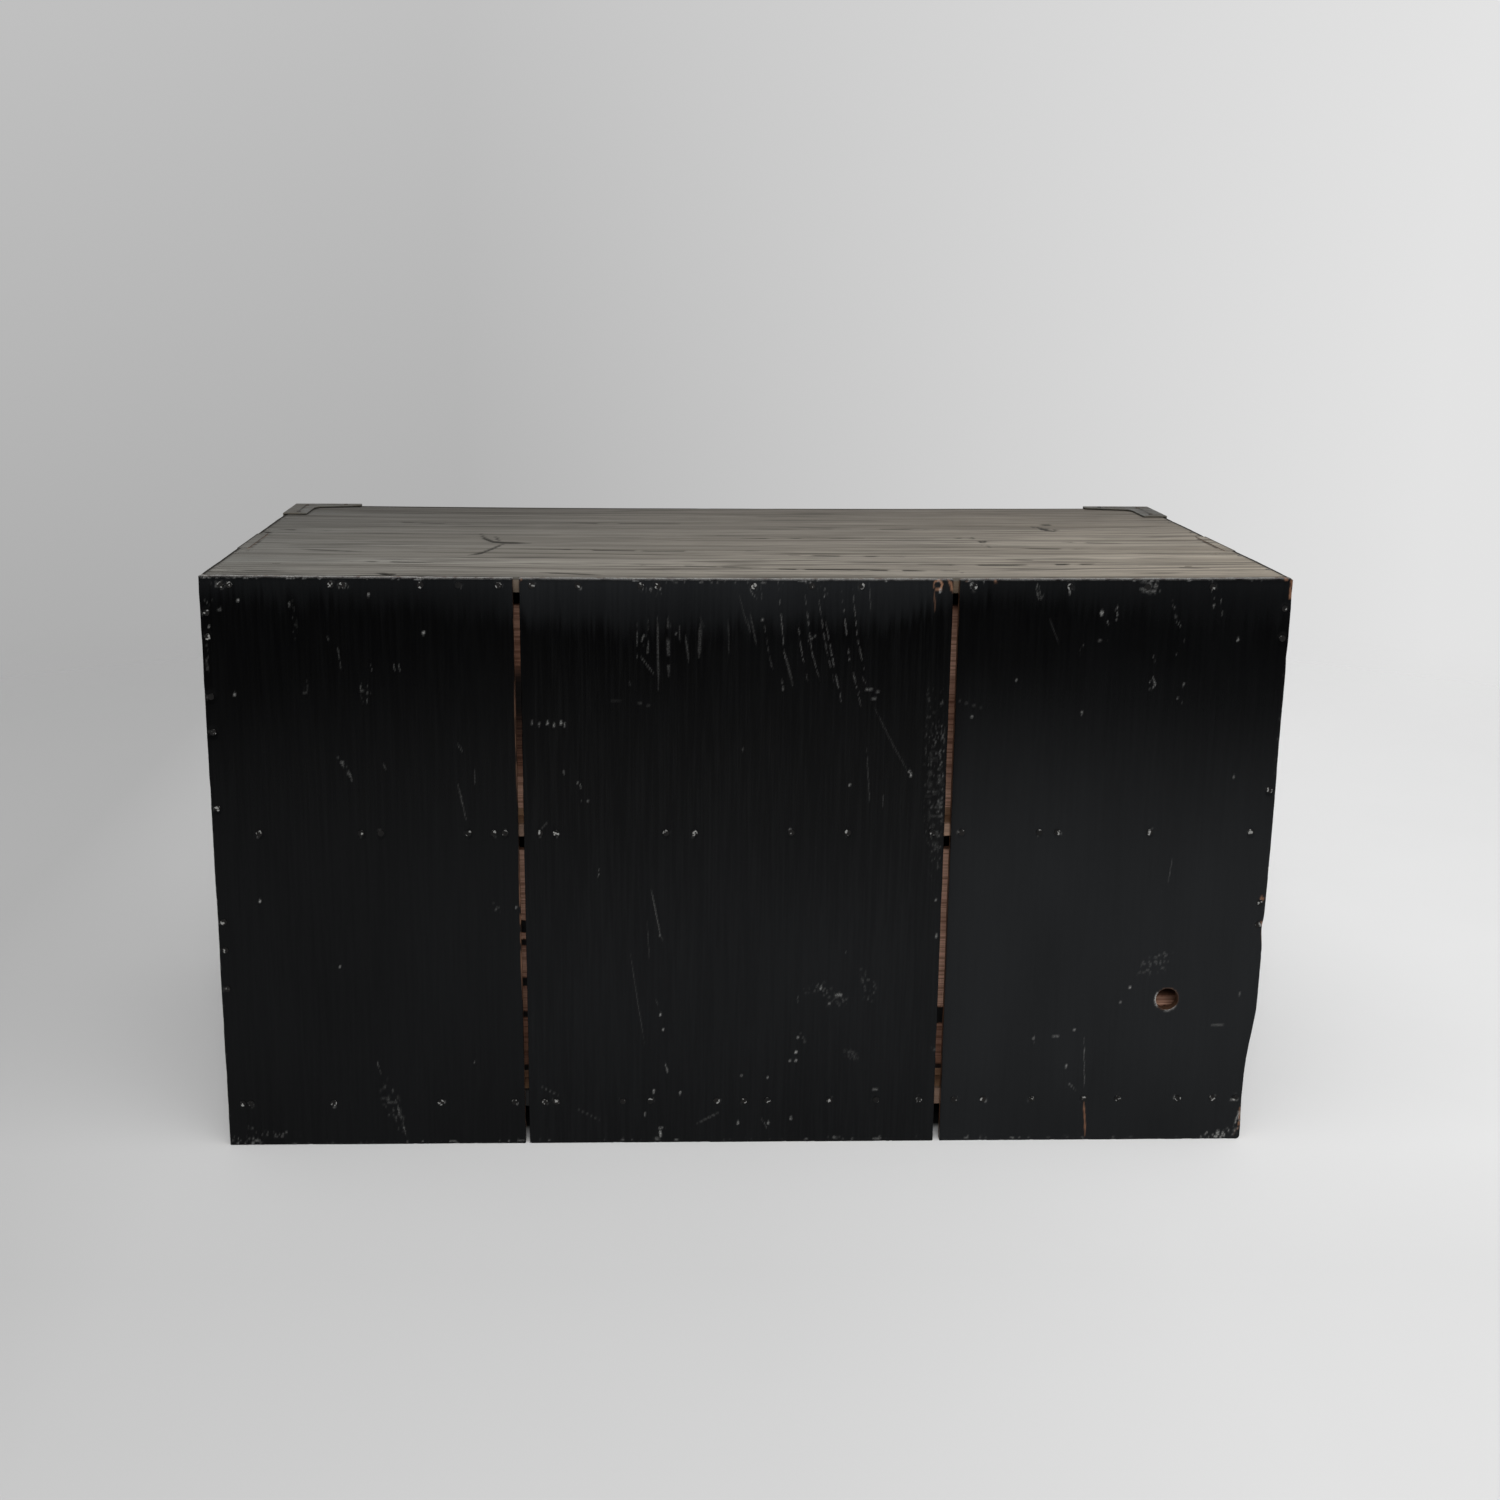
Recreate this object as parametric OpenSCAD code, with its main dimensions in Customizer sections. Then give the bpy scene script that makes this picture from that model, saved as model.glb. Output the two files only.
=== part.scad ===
// Low tansu chest with two full-width drawers, a box-jointed case, nailed back boards and iron fittings.
// Z is up and the chest stands on z = 0. The drawers face -Y and the nailed back faces +Y.
// Left and right are as seen from the drawer side, so right is +X.

/* [Case] */
// Width over the two side boards
case_w = 864; // [760:4:1000]
// Depth from the drawer side to the outside of the back boards
case_d = 454; // [380:2:520]
// Height from the floor to the top surface
case_h = 484; // [440:2:560]
// Thickness of the side boards
side_t = 10; // [9:0.5:14]
// Thickness of the top board
top_t = 14; // [12:0.5:18]
// Thickness of the shelf between the drawers
shelf_t = 10; // [9:0.5:14]
// Thickness of the bottom board
bottom_t = 14; // [12:0.5:18]
// Clear height under the bottom board
foot_h = 31; // [24:1:50]
// Height of the lower drawer's opening
lower_open_h = 224; // [180:2:250]
// Depth that the shelf and the bottom board are let into the sides
dado = 3; // [2:0.5:5]
// Thickness of the rail that closes the base at the front
base_rail_t = 18; // [12:1:24]

/* [Box joint in the top] */
// Distance from the outside of the back to the side board's finger
finger_back = 152; // [120:1:180]
// Length of the side board's finger along the depth
finger_l = 90; // [50:1:120]

/* [Back boards] */
// Thickness of the back boards
back_t = 8; // [6:0.5:12]
// Width of the left back board at its top
left_back_top_w = 266; // [230:1:300]
// Width of the left back board at its foot
left_back_foot_w = 264; // [230:1:300]
// Gap beside the left back board at its top
left_gap_top = 5; // [1:0.5:8]
// Gap beside the left back board at its foot
left_gap_foot = 5.5; // [1:0.5:8]
// Width of the right back board at its top
right_back_top_w = 245; // [220:1:280]
// Width of the right back board at its foot
right_back_foot_w = 249; // [220:1:280]
// Gap beside the right back board at its top
right_gap_top = 5; // [1:0.5:8]
// Gap beside the right back board at its foot
right_gap_foot = 3; // [1:0.5:8]
// Diameter of the cable hole in the left back board
cable_hole_d = 19; // [12:0.5:40]
// Distance from the chest's left side to the cable hole's centre
cable_hole_side = 77; // [50:1:150]
// Height of the cable hole's centre
cable_hole_z = 128; // [80:1:200]
// Depth of the wane at the foot of the left rear edge
wane_depth = 7; // [2:0.5:8]
// Height that the wane reaches
wane_h = 110; // [60:1:160]
// Length of the wane along the side board
wane_l = 80; // [40:1:120]

/* [Nails and pegs] */
// Diameter of a back nail's head
nail_head_d = 5; // [3.5:0.1:6]
// Thickness of a back nail's head
nail_head_t = 1; // [0.5:0.1:2]
// Diameter of a back nail's shank
nail_shank_d = 2.4; // [1.6:0.1:3]
// Length of a back nail
nail_l = 24; // [16:1:34]
// Diameter of the wooden pegs in the case
case_peg_d = 4; // [3:0.1:5]
// Length of the wooden pegs in the case
case_peg_l = 36; // [24:1:50]
// Diameter of the wooden pegs in the drawers
drawer_peg_d = 3; // [2:0.1:4]
// Length of the wooden pegs in the drawers
drawer_peg_l = 24; // [16:1:34]
// Radial play of nails, pegs and posts in their holes
fastener_play = 0.05; // [0.02:0.01:0.1]

/* [Drawers] */
// Play at each side of a drawer
drawer_play = 1; // [0.5:0.1:2]
// Play above a drawer's front
head_play = 1.5; // [0.5:0.1:3]
// Distance that the drawer fronts stand behind the case's front edges
front_recess = 1; // [0:0.1:3]
// Thickness of the drawer fronts
front_t = 18; // [14:0.5:22]
// Thickness of the drawer sides and backs
wall_t = 10; // [8:0.5:12]
// Thickness of the drawer bottoms
drawer_bottom_t = 7; // [5:0.5:10]
// Depth that the drawer sides lap into the front
corner_lap = 9; // [6:0.5:11]
// Distance from the top of an opening down to the drawer side
side_drop = 5; // [3:0.5:12]
// Distance from the top of the upper opening down to its drawer back
upper_back_drop = 15; // [8:1:30]
// Distance from the top of the lower opening down to its drawer back
lower_back_drop = 20; // [8:1:30]
// Free space between a drawer's back and the back boards
back_space = 26; // [12:1:50]
// Number of fingers at each rear corner of a drawer, in both boards
corner_fingers = 7; // [5:2:9]
// Width of a drawer stop
stop_w = 24; // [14:1:40]
// Height of a drawer stop
stop_h = 9; // [6:0.5:14]
// Distance between the two stops of a drawer
stop_spacing = 560; // [400:10:640]

/* [Drawer handles] */
// Distance between the two eye posts of a drawer handle
bail_span = 96; // [70:1:130]
// Drop from the eyes to the middle of the bail's bar
bail_drop = 48; // [36:1:60]
// Diameter of the bail's rod
bail_rod_d = 6; // [5:0.1:8]
// Extra diameter of the bar at its middle
bail_swell = 1.5; // [0:0.1:3]
// Diameter of the bail's inward pins
pin_d = 4.4; // [3.4:0.1:4.8]
// Radial play of a pin in its eye
pin_play = 0.08; // [0.02:0.01:0.1]
// Diameter of an eye
eye_d = 12; // [10:0.5:16]
// Thickness of an eye between its flat cheeks
eye_t = 7; // [5:0.5:9]
// Distance from the drawer's face to the pin
eye_out = 10; // [8:0.5:14]
// Diameter of a post
post_d = 5; // [4:0.1:6]
// Distance between the two handles of a drawer
handle_spacing = 440; // [340:5:500]
// Height of the handle's pins above the middle of the drawer
handle_rise = 12; // [0:1:20]
// Diameter of the clenched end of a post inside the drawer
clench_d = 9; // [7:0.5:12]
// Thickness of the clenched end
clench_t = 1.5; // [1:0.1:3]
// Radius of a post plate's middle disc
post_plate_r = 9; // [7:0.5:12]
// Radius of the petals round a post plate
petal_r = 3.4; // [2.8:0.1:4]
// Thickness of a post plate
post_plate_t = 1; // [0.6:0.1:1.5]

/* [Side carrying handles] */
// Distance between the two eye posts of a carrying handle
side_bail_span = 120; // [90:1:160]
// Drop from the eyes to the middle of the carrying bar
side_bail_drop = 62; // [50:1:80]
// Diameter of the carrying bail's rod
side_rod_d = 8; // [6:0.1:9]
// Distance from the side board to the pin
side_eye_out = 12; // [10:0.5:16]
// Height of the carrying handle's pins above the floor
side_handle_z = 350; // [300:5:400]

/* [Corner irons] */
// Thickness of the iron sheet
iron_t = 1.2; // [0.8:0.1:2]
// Length of an iron's arm across the front
iron_arm = 65; // [50:1:90]
// Length of an iron's arm along the side
iron_side_arm = 75; // [60:1:100]
// Height of an iron's arm down the corner
iron_drop = 75; // [64:1:100]
// Width of an iron's arms near the corner
iron_w = 22; // [16:0.5:28]
// Width at the tip of the arm across the top
iron_tip_w = 10; // [8:0.5:16]
// Distance of the lower irons from the floor
iron_lift = 0.5; // [0.2:0.1:2]
// Length of the arms of a drawer's corner irons
drawer_iron_arm = 38; // [26:1:50]
// Width of the arms of a drawer's corner irons
drawer_iron_w = 12; // [9:0.5:16]
// Diameter of the domed nails in the case irons
dome_d = 4.4; // [3.4:0.1:5]
// Diameter of the domed nails in the drawer fittings
small_dome_d = 3.6; // [2.6:0.1:4.4]
// Diameter of a domed nail's shank
dome_shank_d = 1.6; // [1:0.1:2]
// Length of a domed nail's shank
dome_l = 8; // [5:0.5:8]

/* [Locks] */
// Distance from the centre of a lock plate to its lobes
lobe_out = 15; // [12:0.5:18]
// Radius of a lock plate's four lobes
lobe_r = 14; // [11:0.5:16]
// Distance from the top of an opening down to the keyhole
keyhole_drop = 34; // [32:0.5:44]
// Diameter of the keyhole
keyhole_d = 6; // [4:0.1:8]
// Width of the key slot under the keyhole
key_slot_w = 3; // [2:0.1:4]
// Length of the key slot
key_slot_l = 8; // [5:0.5:10]
// Width of a lock's case
lock_w = 60; // [52:1:80]
// Height of a lock's case
lock_h = 42; // [36:1:48]
// Depth of a lock's case behind the drawer front
lock_d = 12; // [10:0.5:16]
// Sheet thickness of a lock's case
lock_wall = 1.5; // [1:0.1:2]
// Width of the bolt's tongue
tongue_w = 22; // [16:1:28]
// Width that the bolt's shoulder adds at each side of the tongue
shoulder_w = 8; // [5:0.5:10]
// Thickness of the bolt
bolt_t = 3; // [2:0.1:4]
// Travel of the bolt
bolt_travel = 7; // [5:0.5:7.5]
// Distance of the drawn bolt below the board above it
bolt_clear = 3; // [2:0.1:4]
// Play of the bolt's tongue in its slot
bolt_play = 0.3; // [0.2:0.05:0.5]
// Play round the raised bolt in its mortise
mortise_play = 1; // [0.5:0.1:2]

/* [Hidden] */
$fn = 48;
// Length by which a cutting solid runs past a face
past = 1;
// The chest's box is centred on the origin, so its front stands back by half of the handles' reach.
front_reach = max(eye_out + eye_d / 2, eye_out + (bail_rod_d + bail_swell) / 2) - front_recess;
front_y = (front_reach - case_d) / 2;
back_y = front_y + case_d;
back_in_y = back_y - back_t;
mid_y = (front_y + back_y) / 2;
half_w = case_w / 2;
inner_half_w = half_w - side_t;
under_top_z = case_h - top_t;
lower_z = foot_h + bottom_t;
shelf_z = lower_z + lower_open_h;
upper_z = shelf_z + shelf_t;
upper_open_h = under_top_z - upper_z;
finger_rear_y = back_y - finger_back;
finger_front_y = finger_rear_y - finger_l;

// Height of the three nail rows: the middles of the top board, the shelf and the bottom board
row_z = [case_h - top_t / 2, shelf_z + shelf_t / 2, foot_h + bottom_t / 2];
// Places of the nails of each row, as shares of the way from a board's outer edge to its inner edge
left_row_places = [[0.21, 0.42, 0.67, 0.98],
                   [0.02, 0.36, 0.67, 0.73, 0.99],
                   [0, 0.08, 0.2, 0.41, 0.53, 0.71, 0.88, 0.98]];
// The middle board's places run from its right edge to its left edge
middle_row_places = [[0.01, 0.12, 0.27, 0.31, 0.54, 0.68, 0.8],
                     [0.02, 0.06, 0.33, 0.4, 0.64, 0.78, 0.99],
                     [0.02, 0.05, 0.22, 0.29, 0.46, 0.53, 0.59, 0.75, 0.87, 0.98]];
right_row_places = [[0.02, 0.05, 0.4, 0.44, 0.71, 0.84, 0.98],
                    [0.11, 0.47, 0.54, 0.85, 0.94, 0.98],
                    [0, 0.03, 0.33, 0.72, 0.99]];
// Heights of the nails into the side boards' rear edges, as shares of the case's height
left_column_places = [0.4, 0.44, 0.64, 0.9, 0.95];
right_column_places = [0.29, 0.36, 0.41, 0.61, 0.74, 0.8, 0.9, 0.94];
// Least distance from a board's free edge to a nail's centre
nail_edge = nail_head_d / 2 + 4;

// Distance of the case's pegs from the ends of what they hold
peg_inset = 40;
// Distance of the pegs in the top board from the side boards' fingers and from the front edge
top_peg_from_finger = 28;
top_peg_from_front = 110;
// Places of the pegs into the base rail, as shares of the half width inside the side boards
rail_peg_places = [-0.75, -0.25, 0.25, 0.75];
// Places of a drawer's pegs: shares of the height of its side, of the length of its side, of its half width
wall_peg_places = [0.2, 0.5, 0.8];
floor_peg_places = [0.12, 0.37, 0.63, 0.88];
cross_peg_places = [-0.6, 0, 0.6];

// Distances of the case irons' nails from the corner's edges and from the ends of the legs
iron_nail_inset = iron_w * 0.55;
side_tip_inset = 12;
top_tip_inset = 15;
front_tip_inset = 9;
front_drop_insets = [8, 30];
side_drop_insets = [16, 45];
// Slanted end of an iron's arm across the top: its length, and how much wider it ends
tip_slant_l = 10;
tip_slant_rise = 3;
// Radius of a bail's two bends, as a share of its drop
bend_share = 0.4;

face_y = front_y + front_recess;
front_rear_y = face_y + front_t;
lap_y = front_rear_y - corner_lap;
drawer_back_y = back_in_y - back_space;
drawer_half_w = inner_half_w - drawer_play;
eye_bore_d = pin_d + 2 * pin_play;
arm_offset = eye_t / 2 + 1;

bolt_y = front_rear_y + (lock_d - lock_wall - bolt_t) / 2;
lock_flange_w = 9;

// A box between two opposite corners
module box(low, high) {
    translate(low) cube(high - low);
}

// Round rods along the three axes, each from one end to the other
module rod_x(d, x_from, x_to, y, z) {
    translate([min(x_from, x_to), y, z]) rotate([0, 90, 0]) cylinder(d = d, h = abs(x_to - x_from));
}

module rod_y(d, y_from, y_to, x, z) {
    translate([x, max(y_from, y_to), z]) rotate([90, 0, 0]) cylinder(d = d, h = abs(y_to - y_from));
}

module rod_z(d, z_from, z_to, x, y) {
    translate([x, y, min(z_from, z_to)]) cylinder(d = d, h = abs(z_to - z_from));
}

// A flat outline drawn in X and Z, given a thickness along Y
module upright_plate(y_low, t) {
    translate([0, y_low + t, 0]) rotate([90, 0, 0]) linear_extrude(t) children();
}

// A flat outline drawn in Y and Z, given a thickness along X
module side_plate(x_low, t) {
    translate([x_low, 0, 0]) rotate([90, 0, 90]) linear_extrude(t) children();
}

// What is drawn for the right side, or its mirror image on the left
module on_side(side) {
    if (side > 0) children();
    else mirror([1, 0, 0]) children();
}

// Edges of the back boards at a height, counted from the left:
// 0 is the left side, 1 and 2 are the left gap, 3 and 4 are the right gap, 5 is the right side
function at_height(foot_value, top_value, z) = foot_value + (top_value - foot_value) * z / case_h;
function back_edge(n, z) =
    n == 0 ? -half_w
    : n == 1 ? -half_w + at_height(left_back_foot_w, left_back_top_w, z)
    : n == 2 ? back_edge(1, z) + at_height(left_gap_foot, left_gap_top, z)
    : n == 3 ? back_edge(4, z) - at_height(right_gap_foot, right_gap_top, z)
    : n == 4 ? half_w - at_height(right_back_foot_w, right_back_top_w, z)
    : half_w;

// Nail places of one row: the outer boards' nails start inside the side boards' edges
function spread(from, to, places) = [for (p = places) from + (to - from) * p];
function row_x(row) =
    let (outer_x = inner_half_w - nail_head_d / 2, z = row_z[row])
    concat(spread(-outer_x, back_edge(1, z) - nail_edge, left_row_places[row]),
           spread(back_edge(3, z) - nail_edge, back_edge(2, z) + nail_edge, middle_row_places[row]),
           spread(outer_x, back_edge(4, z) + nail_edge, right_row_places[row]));
function column_z(side) = [for (p = side > 0 ? right_column_places : left_column_places) p * case_h];

module back_nail(x, z, play = 0) {
    rod_y(nail_head_d + 2 * play, back_y - nail_head_t, back_y + (play > 0 ? past : 0), x, z);
    rod_y(nail_shank_d + 2 * play, back_y - nail_l - play, back_y - nail_head_t / 2, x, z);
}

module nail_row(row, play = 0) {
    for (x = row_x(row)) back_nail(x, row_z[row], play);
}

module nail_column(side, play = 0) {
    for (z = column_z(side)) back_nail(side * (half_w - side_t / 2), z, play);
}

// Pegs down through the top into the side boards
module top_pegs(side, play = 0) {
    for (y = [back_in_y - peg_inset, finger_rear_y + top_peg_from_finger,
              finger_front_y - top_peg_from_finger, front_y + top_peg_from_front])
        rod_z(case_peg_d + 2 * play, case_h - case_peg_l - play, case_h + (play > 0 ? past : 0),
              side * (half_w - side_t / 2), y);
}

// Pegs through a side board into the end of the shelf or of the bottom board
module shelf_pegs(side, z, play = 0) {
    inner_x = half_w - case_peg_l - play;
    outer_x = half_w + (play > 0 ? past : 0);
    for (y = [front_y + peg_inset, mid_y, back_in_y - peg_inset])
        rod_x(case_peg_d + 2 * play, side * inner_x, side * outer_x, y, z);
}

// Pegs down through the bottom board into the base rail
module rail_pegs(play = 0) {
    for (place = rail_peg_places)
        rod_z(case_peg_d + 2 * play, foot_h / 2, lower_z + (play > 0 ? past : 0),
              place * inner_half_w, front_y + base_rail_t / 2);
}

// The wane: what the crooked lower edge of the plank leaves open at the left rear corner
module wane() {
    outer = -half_w - past;
    intersection() {
        upright_plate(back_y - wane_l, wane_l + past)
            polygon([[outer, -past], [wane_depth * 0.8 - half_w, -past], [wane_depth - half_w, wane_h * 0.3],
                     [wane_depth * 0.9 - half_w, wane_h * 0.55], [wane_depth * 0.4 - half_w, wane_h * 0.85],
                     [-half_w, wane_h], [outer, wane_h]]);
        linear_extrude(2 * wane_h + 2 * past, center = true)
            polygon([[outer, back_y + past], [wane_depth + past - half_w, back_y + past],
                     [wane_depth - half_w, back_in_y - past], [outer, back_y - wane_l]]);
    }
}

// A domed nail that points along -Z from the origin, with the top of its sheet at z = 0
module dome_nail(d, l, play = 0) {
    intersection() {
        sphere(d = d);
        translate([0, 0, d / 4]) cube([2 * d, 2 * d, d / 2], center = true);
    }
    translate([0, 0, -l - play]) cylinder(d = dome_shank_d + 2 * play, h = l + play + d / 8);
}

// Domed nails of the right corner irons: level is 1 for the top iron and -1 for the bottom iron
module iron_nails(level, play = 0) {
    edge_z = level > 0 ? case_h - top_t / 2 : iron_lift + iron_w / 2;
    tip_y = iron_side_arm - side_tip_inset;
    if (level > 0)
        for (p = [[iron_nail_inset, iron_nail_inset], [iron_nail_inset, tip_y],
                  [iron_arm - top_tip_inset, iron_tip_w * 0.7]])
            translate([half_w - p[0], front_y + p[1], case_h + iron_t]) dome_nail(dome_d, dome_l, play);
    for (u = [iron_arm * 0.46, iron_arm - front_tip_inset])
        translate([half_w - u, front_y - iron_t, edge_z]) rotate([90, 0, 0]) dome_nail(dome_d, dome_l, play);
    for (u = front_drop_insets)
        translate([half_w - side_t / 2, front_y - iron_t, iron_drop_z(level, u)])
            rotate([90, 0, 0]) dome_nail(dome_d, dome_l, play);
    translate([half_w + iron_t, front_y + tip_y, edge_z])
        rotate([0, 90, 0]) dome_nail(dome_d, dome_l, play);
    for (u = side_drop_insets)
        translate([half_w + iron_t, front_y + iron_nail_inset, iron_drop_z(level, u)])
            rotate([0, 90, 0]) dome_nail(dome_d, dome_l, play);
}

// Height of a nail that stands a distance from the end of the iron's leg down or up the corner
function iron_drop_z(level, from_end) = level > 0 ? case_h - iron_drop + from_end : iron_drop - from_end;

// Places of the carrying handles: the handle is drawn with its pins along X and its outside towards -Y
module at_side_handle(side) {
    translate([side * half_w, mid_y, side_handle_z]) rotate([0, 0, side * 90]) children();
}

// An eye post: a flat-cheeked eye with a bore for the bail's pin, and its post into the board
module eye_post(out, through, bore_d) {
    difference() {
        union() {
            intersection() {
                translate([0, -out, 0]) sphere(d = eye_d);
                cube([eye_t, 4 * eye_d, 2 * eye_d], center = true);
            }
            rod_y(post_d, -out + bore_d / 2, through, 0, 0);
        }
        rod_x(bore_d, -eye_d, eye_d, -out, 0);
    }
}

// A bail: two pins that point inwards, two arms, two bends and a bar that swells in the middle
module bail(span, drop, rod_d, swell) {
    arm_x = span / 2 + arm_offset + rod_d / 2;
    bend_r = drop * bend_share;
    bar_half = arm_x - bend_r;
    for (side = [-1, 1]) on_side(side) {
        rod_x(pin_d, span / 2 - eye_t / 2 - 1, arm_x, 0, 0);
        translate([arm_x, 0, 0]) sphere(d = rod_d);
        rod_z(rod_d, bend_r - drop, 0, arm_x, 0);
        translate([bar_half, 0, bend_r - drop]) rotate([90, 0, 0]) rotate([0, 0, -90])
            rotate_extrude(angle = 90) translate([bend_r, 0]) circle(d = rod_d);
        translate([0, 0, -drop]) rotate([0, 90, 0]) cylinder(d1 = rod_d + swell, d2 = rod_d, h = bar_half);
    }
}

// A post plate with eight petals, flat on the board at y = 0
module post_plate() {
    upright_plate(-post_plate_t, post_plate_t) difference() {
        union() {
            circle(r = post_plate_r);
            for (a = [0:45:315]) rotate(a) translate([post_plate_r, 0]) circle(r = petal_r);
        }
        circle(d = post_d + 2 * fastener_play);
    }
}

// Case boards

module side_board(side) {
    cut_x = inner_half_w - past;
    cut_y = front_y - past;
    color([0.09, 0.09, 0.1]) difference() {
        on_side(side) difference() {
            union() {
                box([inner_half_w, front_y, 0], [half_w, back_in_y, under_top_z]);
                box([inner_half_w, finger_front_y, under_top_z - past], [half_w, finger_rear_y, case_h]);
            }
            box([cut_x, cut_y, shelf_z], [inner_half_w + dado, back_in_y + past, upper_z]);
            box([cut_x, cut_y, foot_h], [inner_half_w + dado, back_in_y + past, lower_z]);
            top_pegs(1, fastener_play);
            shelf_pegs(1, row_z[1], fastener_play);
            shelf_pegs(1, row_z[2], fastener_play);
            iron_nails(1, fastener_play);
            iron_nails(-1, fastener_play);
            at_side_handle(1) for (x = [-1, 1])
                rod_y(post_d + 2 * fastener_play, -past, side_t + past, x * side_bail_span / 2, 0);
        }
        nail_column(side, fastener_play);
        if (side < 0) wane();
    }
}

module top_board() {
    color([0.36, 0.34, 0.31]) difference() {
        box([-half_w, front_y, under_top_z], [half_w, back_in_y, case_h]);
        for (side = [-1, 1]) on_side(side) {
            box([inner_half_w, finger_front_y, under_top_z - past],
                [half_w + past, finger_rear_y, case_h + past]);
            top_pegs(1, fastener_play);
            iron_nails(1, fastener_play);
        }
        nail_row(0, fastener_play);
        bolt_mortise(under_top_z);
    }
}

module bottom_board() {
    color([0.42, 0.3, 0.2]) difference() {
        box([-inner_half_w - dado, front_y, foot_h], [inner_half_w + dado, back_in_y, lower_z]);
        for (side = [-1, 1]) shelf_pegs(side, row_z[2], fastener_play);
        rail_pegs(fastener_play);
        nail_row(2, fastener_play);
    }
}

module middle_shelf() {
    color([0.42, 0.3, 0.2]) difference() {
        box([-inner_half_w - dado, front_y, shelf_z], [inner_half_w + dado, back_in_y, upper_z]);
        for (side = [-1, 1]) shelf_pegs(side, row_z[1], fastener_play);
        nail_row(1, fastener_play);
        bolt_mortise(shelf_z);
    }
}

module front_base_rail() {
    color([0.09, 0.09, 0.1]) difference() {
        box([-inner_half_w, front_y, 0], [inner_half_w, front_y + base_rail_t, foot_h]);
        rail_pegs(fastener_play);
        for (side = [-1, 1]) on_side(side) iron_nails(-1, fastener_play);
    }
}

// Back boards: each is a plank with its own taper, nailed over the rear edges of the case
module back_plank(left_edge, right_edge) {
    upright_plate(back_in_y, back_t)
        polygon([[back_edge(left_edge, 0), 0], [back_edge(right_edge, 0), 0],
                 [back_edge(right_edge, case_h), case_h], [back_edge(left_edge, case_h), case_h]]);
}

module all_back_nails(play = 0) {
    for (row = [0:2]) nail_row(row, play);
    for (side = [-1, 1]) nail_column(side, play);
}

module back_board_left() {
    color([0.06, 0.06, 0.07]) difference() {
        back_plank(0, 1);
        rod_y(cable_hole_d, back_in_y - past, back_y + past, cable_hole_side - half_w, cable_hole_z);
        all_back_nails(fastener_play);
        wane();
    }
}

module back_board_middle() {
    color([0.07, 0.07, 0.08]) difference() {
        back_plank(2, 3);
        all_back_nails(fastener_play);
    }
}

module back_board_right() {
    color([0.05, 0.05, 0.06]) difference() {
        back_plank(4, 5);
        all_back_nails(fastener_play);
    }
}

module back_nails() {
    color([0.3, 0.28, 0.26]) all_back_nails();
}

module case_pegs() {
    color([0.55, 0.42, 0.28]) {
        for (side = [-1, 1]) {
            top_pegs(side);
            shelf_pegs(side, row_z[1]);
            shelf_pegs(side, row_z[2]);
        }
        rail_pegs();
    }
}

// Drawer stops: blocks between the back boards and the drawer's back
module drawer_stops(floor_z) {
    color([0.5, 0.38, 0.26])
        for (side = [-1, 1])
            box([side * stop_spacing / 2 - stop_w / 2, drawer_back_y, floor_z],
                [side * stop_spacing / 2 + stop_w / 2, back_in_y, floor_z + stop_h]);
}

// Corner irons: one bent sheet with a leg on each face of the corner, drawn for the right side
module front_leg_outline(edge_w) {
    polygon([[half_w + iron_t, 0], [half_w + iron_t, iron_drop], [inner_half_w, iron_drop],
             [inner_half_w, edge_w], [half_w - iron_arm, edge_w], [half_w - iron_arm, 0]]);
}

module side_leg_outline() {
    start = front_y - iron_t;
    polygon([[start, 0], [front_y + iron_side_arm, 0], [front_y + iron_side_arm, iron_w * 0.8],
             [front_y + iron_w * 1.3, iron_w], [front_y + iron_w, iron_w * 1.3],
             [front_y + iron_w * 0.8, iron_drop], [start, iron_drop]]);
}

module top_leg_outline() {
    start = front_y - iron_t;
    polygon([[half_w + iron_t, start], [half_w + iron_t, front_y + iron_side_arm],
             [half_w - iron_w, front_y + iron_side_arm], [half_w - iron_w, front_y + iron_w * 1.45],
             [half_w - iron_w * 1.2, front_y + iron_w],
             [half_w - iron_arm + tip_slant_l, front_y + iron_tip_w + tip_slant_rise],
             [half_w - iron_arm, front_y + iron_tip_w], [half_w - iron_arm, start]]);
}

module corner_iron_top(side) {
    color([0.27, 0.26, 0.23]) on_side(side) difference() {
        union() {
            translate([0, 0, case_h]) linear_extrude(iron_t) top_leg_outline();
            translate([0, 0, case_h + iron_t]) mirror([0, 0, 1]) {
                upright_plate(front_y - iron_t, iron_t) front_leg_outline(top_t + iron_t);
                side_plate(half_w, iron_t) side_leg_outline();
            }
        }
        iron_nails(1, fastener_play);
    }
}

module corner_iron_bottom(side) {
    color([0.27, 0.26, 0.23]) on_side(side) difference() {
        translate([0, 0, iron_lift]) {
            upright_plate(front_y - iron_t, iron_t) front_leg_outline(iron_w);
            side_plate(half_w, iron_t) side_leg_outline();
        }
        iron_nails(-1, fastener_play);
    }
}

module corner_iron_nails() {
    color([0.3, 0.29, 0.26])
        for (side = [-1, 1]) on_side(side) {
            iron_nails(1);
            iron_nails(-1);
        }
}

// Side carrying handles

module side_handle_bail(side) {
    color([0.2, 0.19, 0.18]) at_side_handle(side) translate([0, -side_eye_out, 0])
        bail(side_bail_span, side_bail_drop, side_rod_d, bail_swell);
}

module side_handle_posts() {
    color([0.22, 0.21, 0.2])
        for (side = [-1, 1], x = [-1, 1]) at_side_handle(side)
            translate([x * side_bail_span / 2, 0, 0]) eye_post(side_eye_out, side_t, eye_bore_d);
}

module side_handle_post_plates() {
    color([0.24, 0.23, 0.21])
        for (side = [-1, 1], x = [-1, 1]) at_side_handle(side)
            translate([x * side_bail_span / 2, 0, 0]) post_plate();
}

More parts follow.
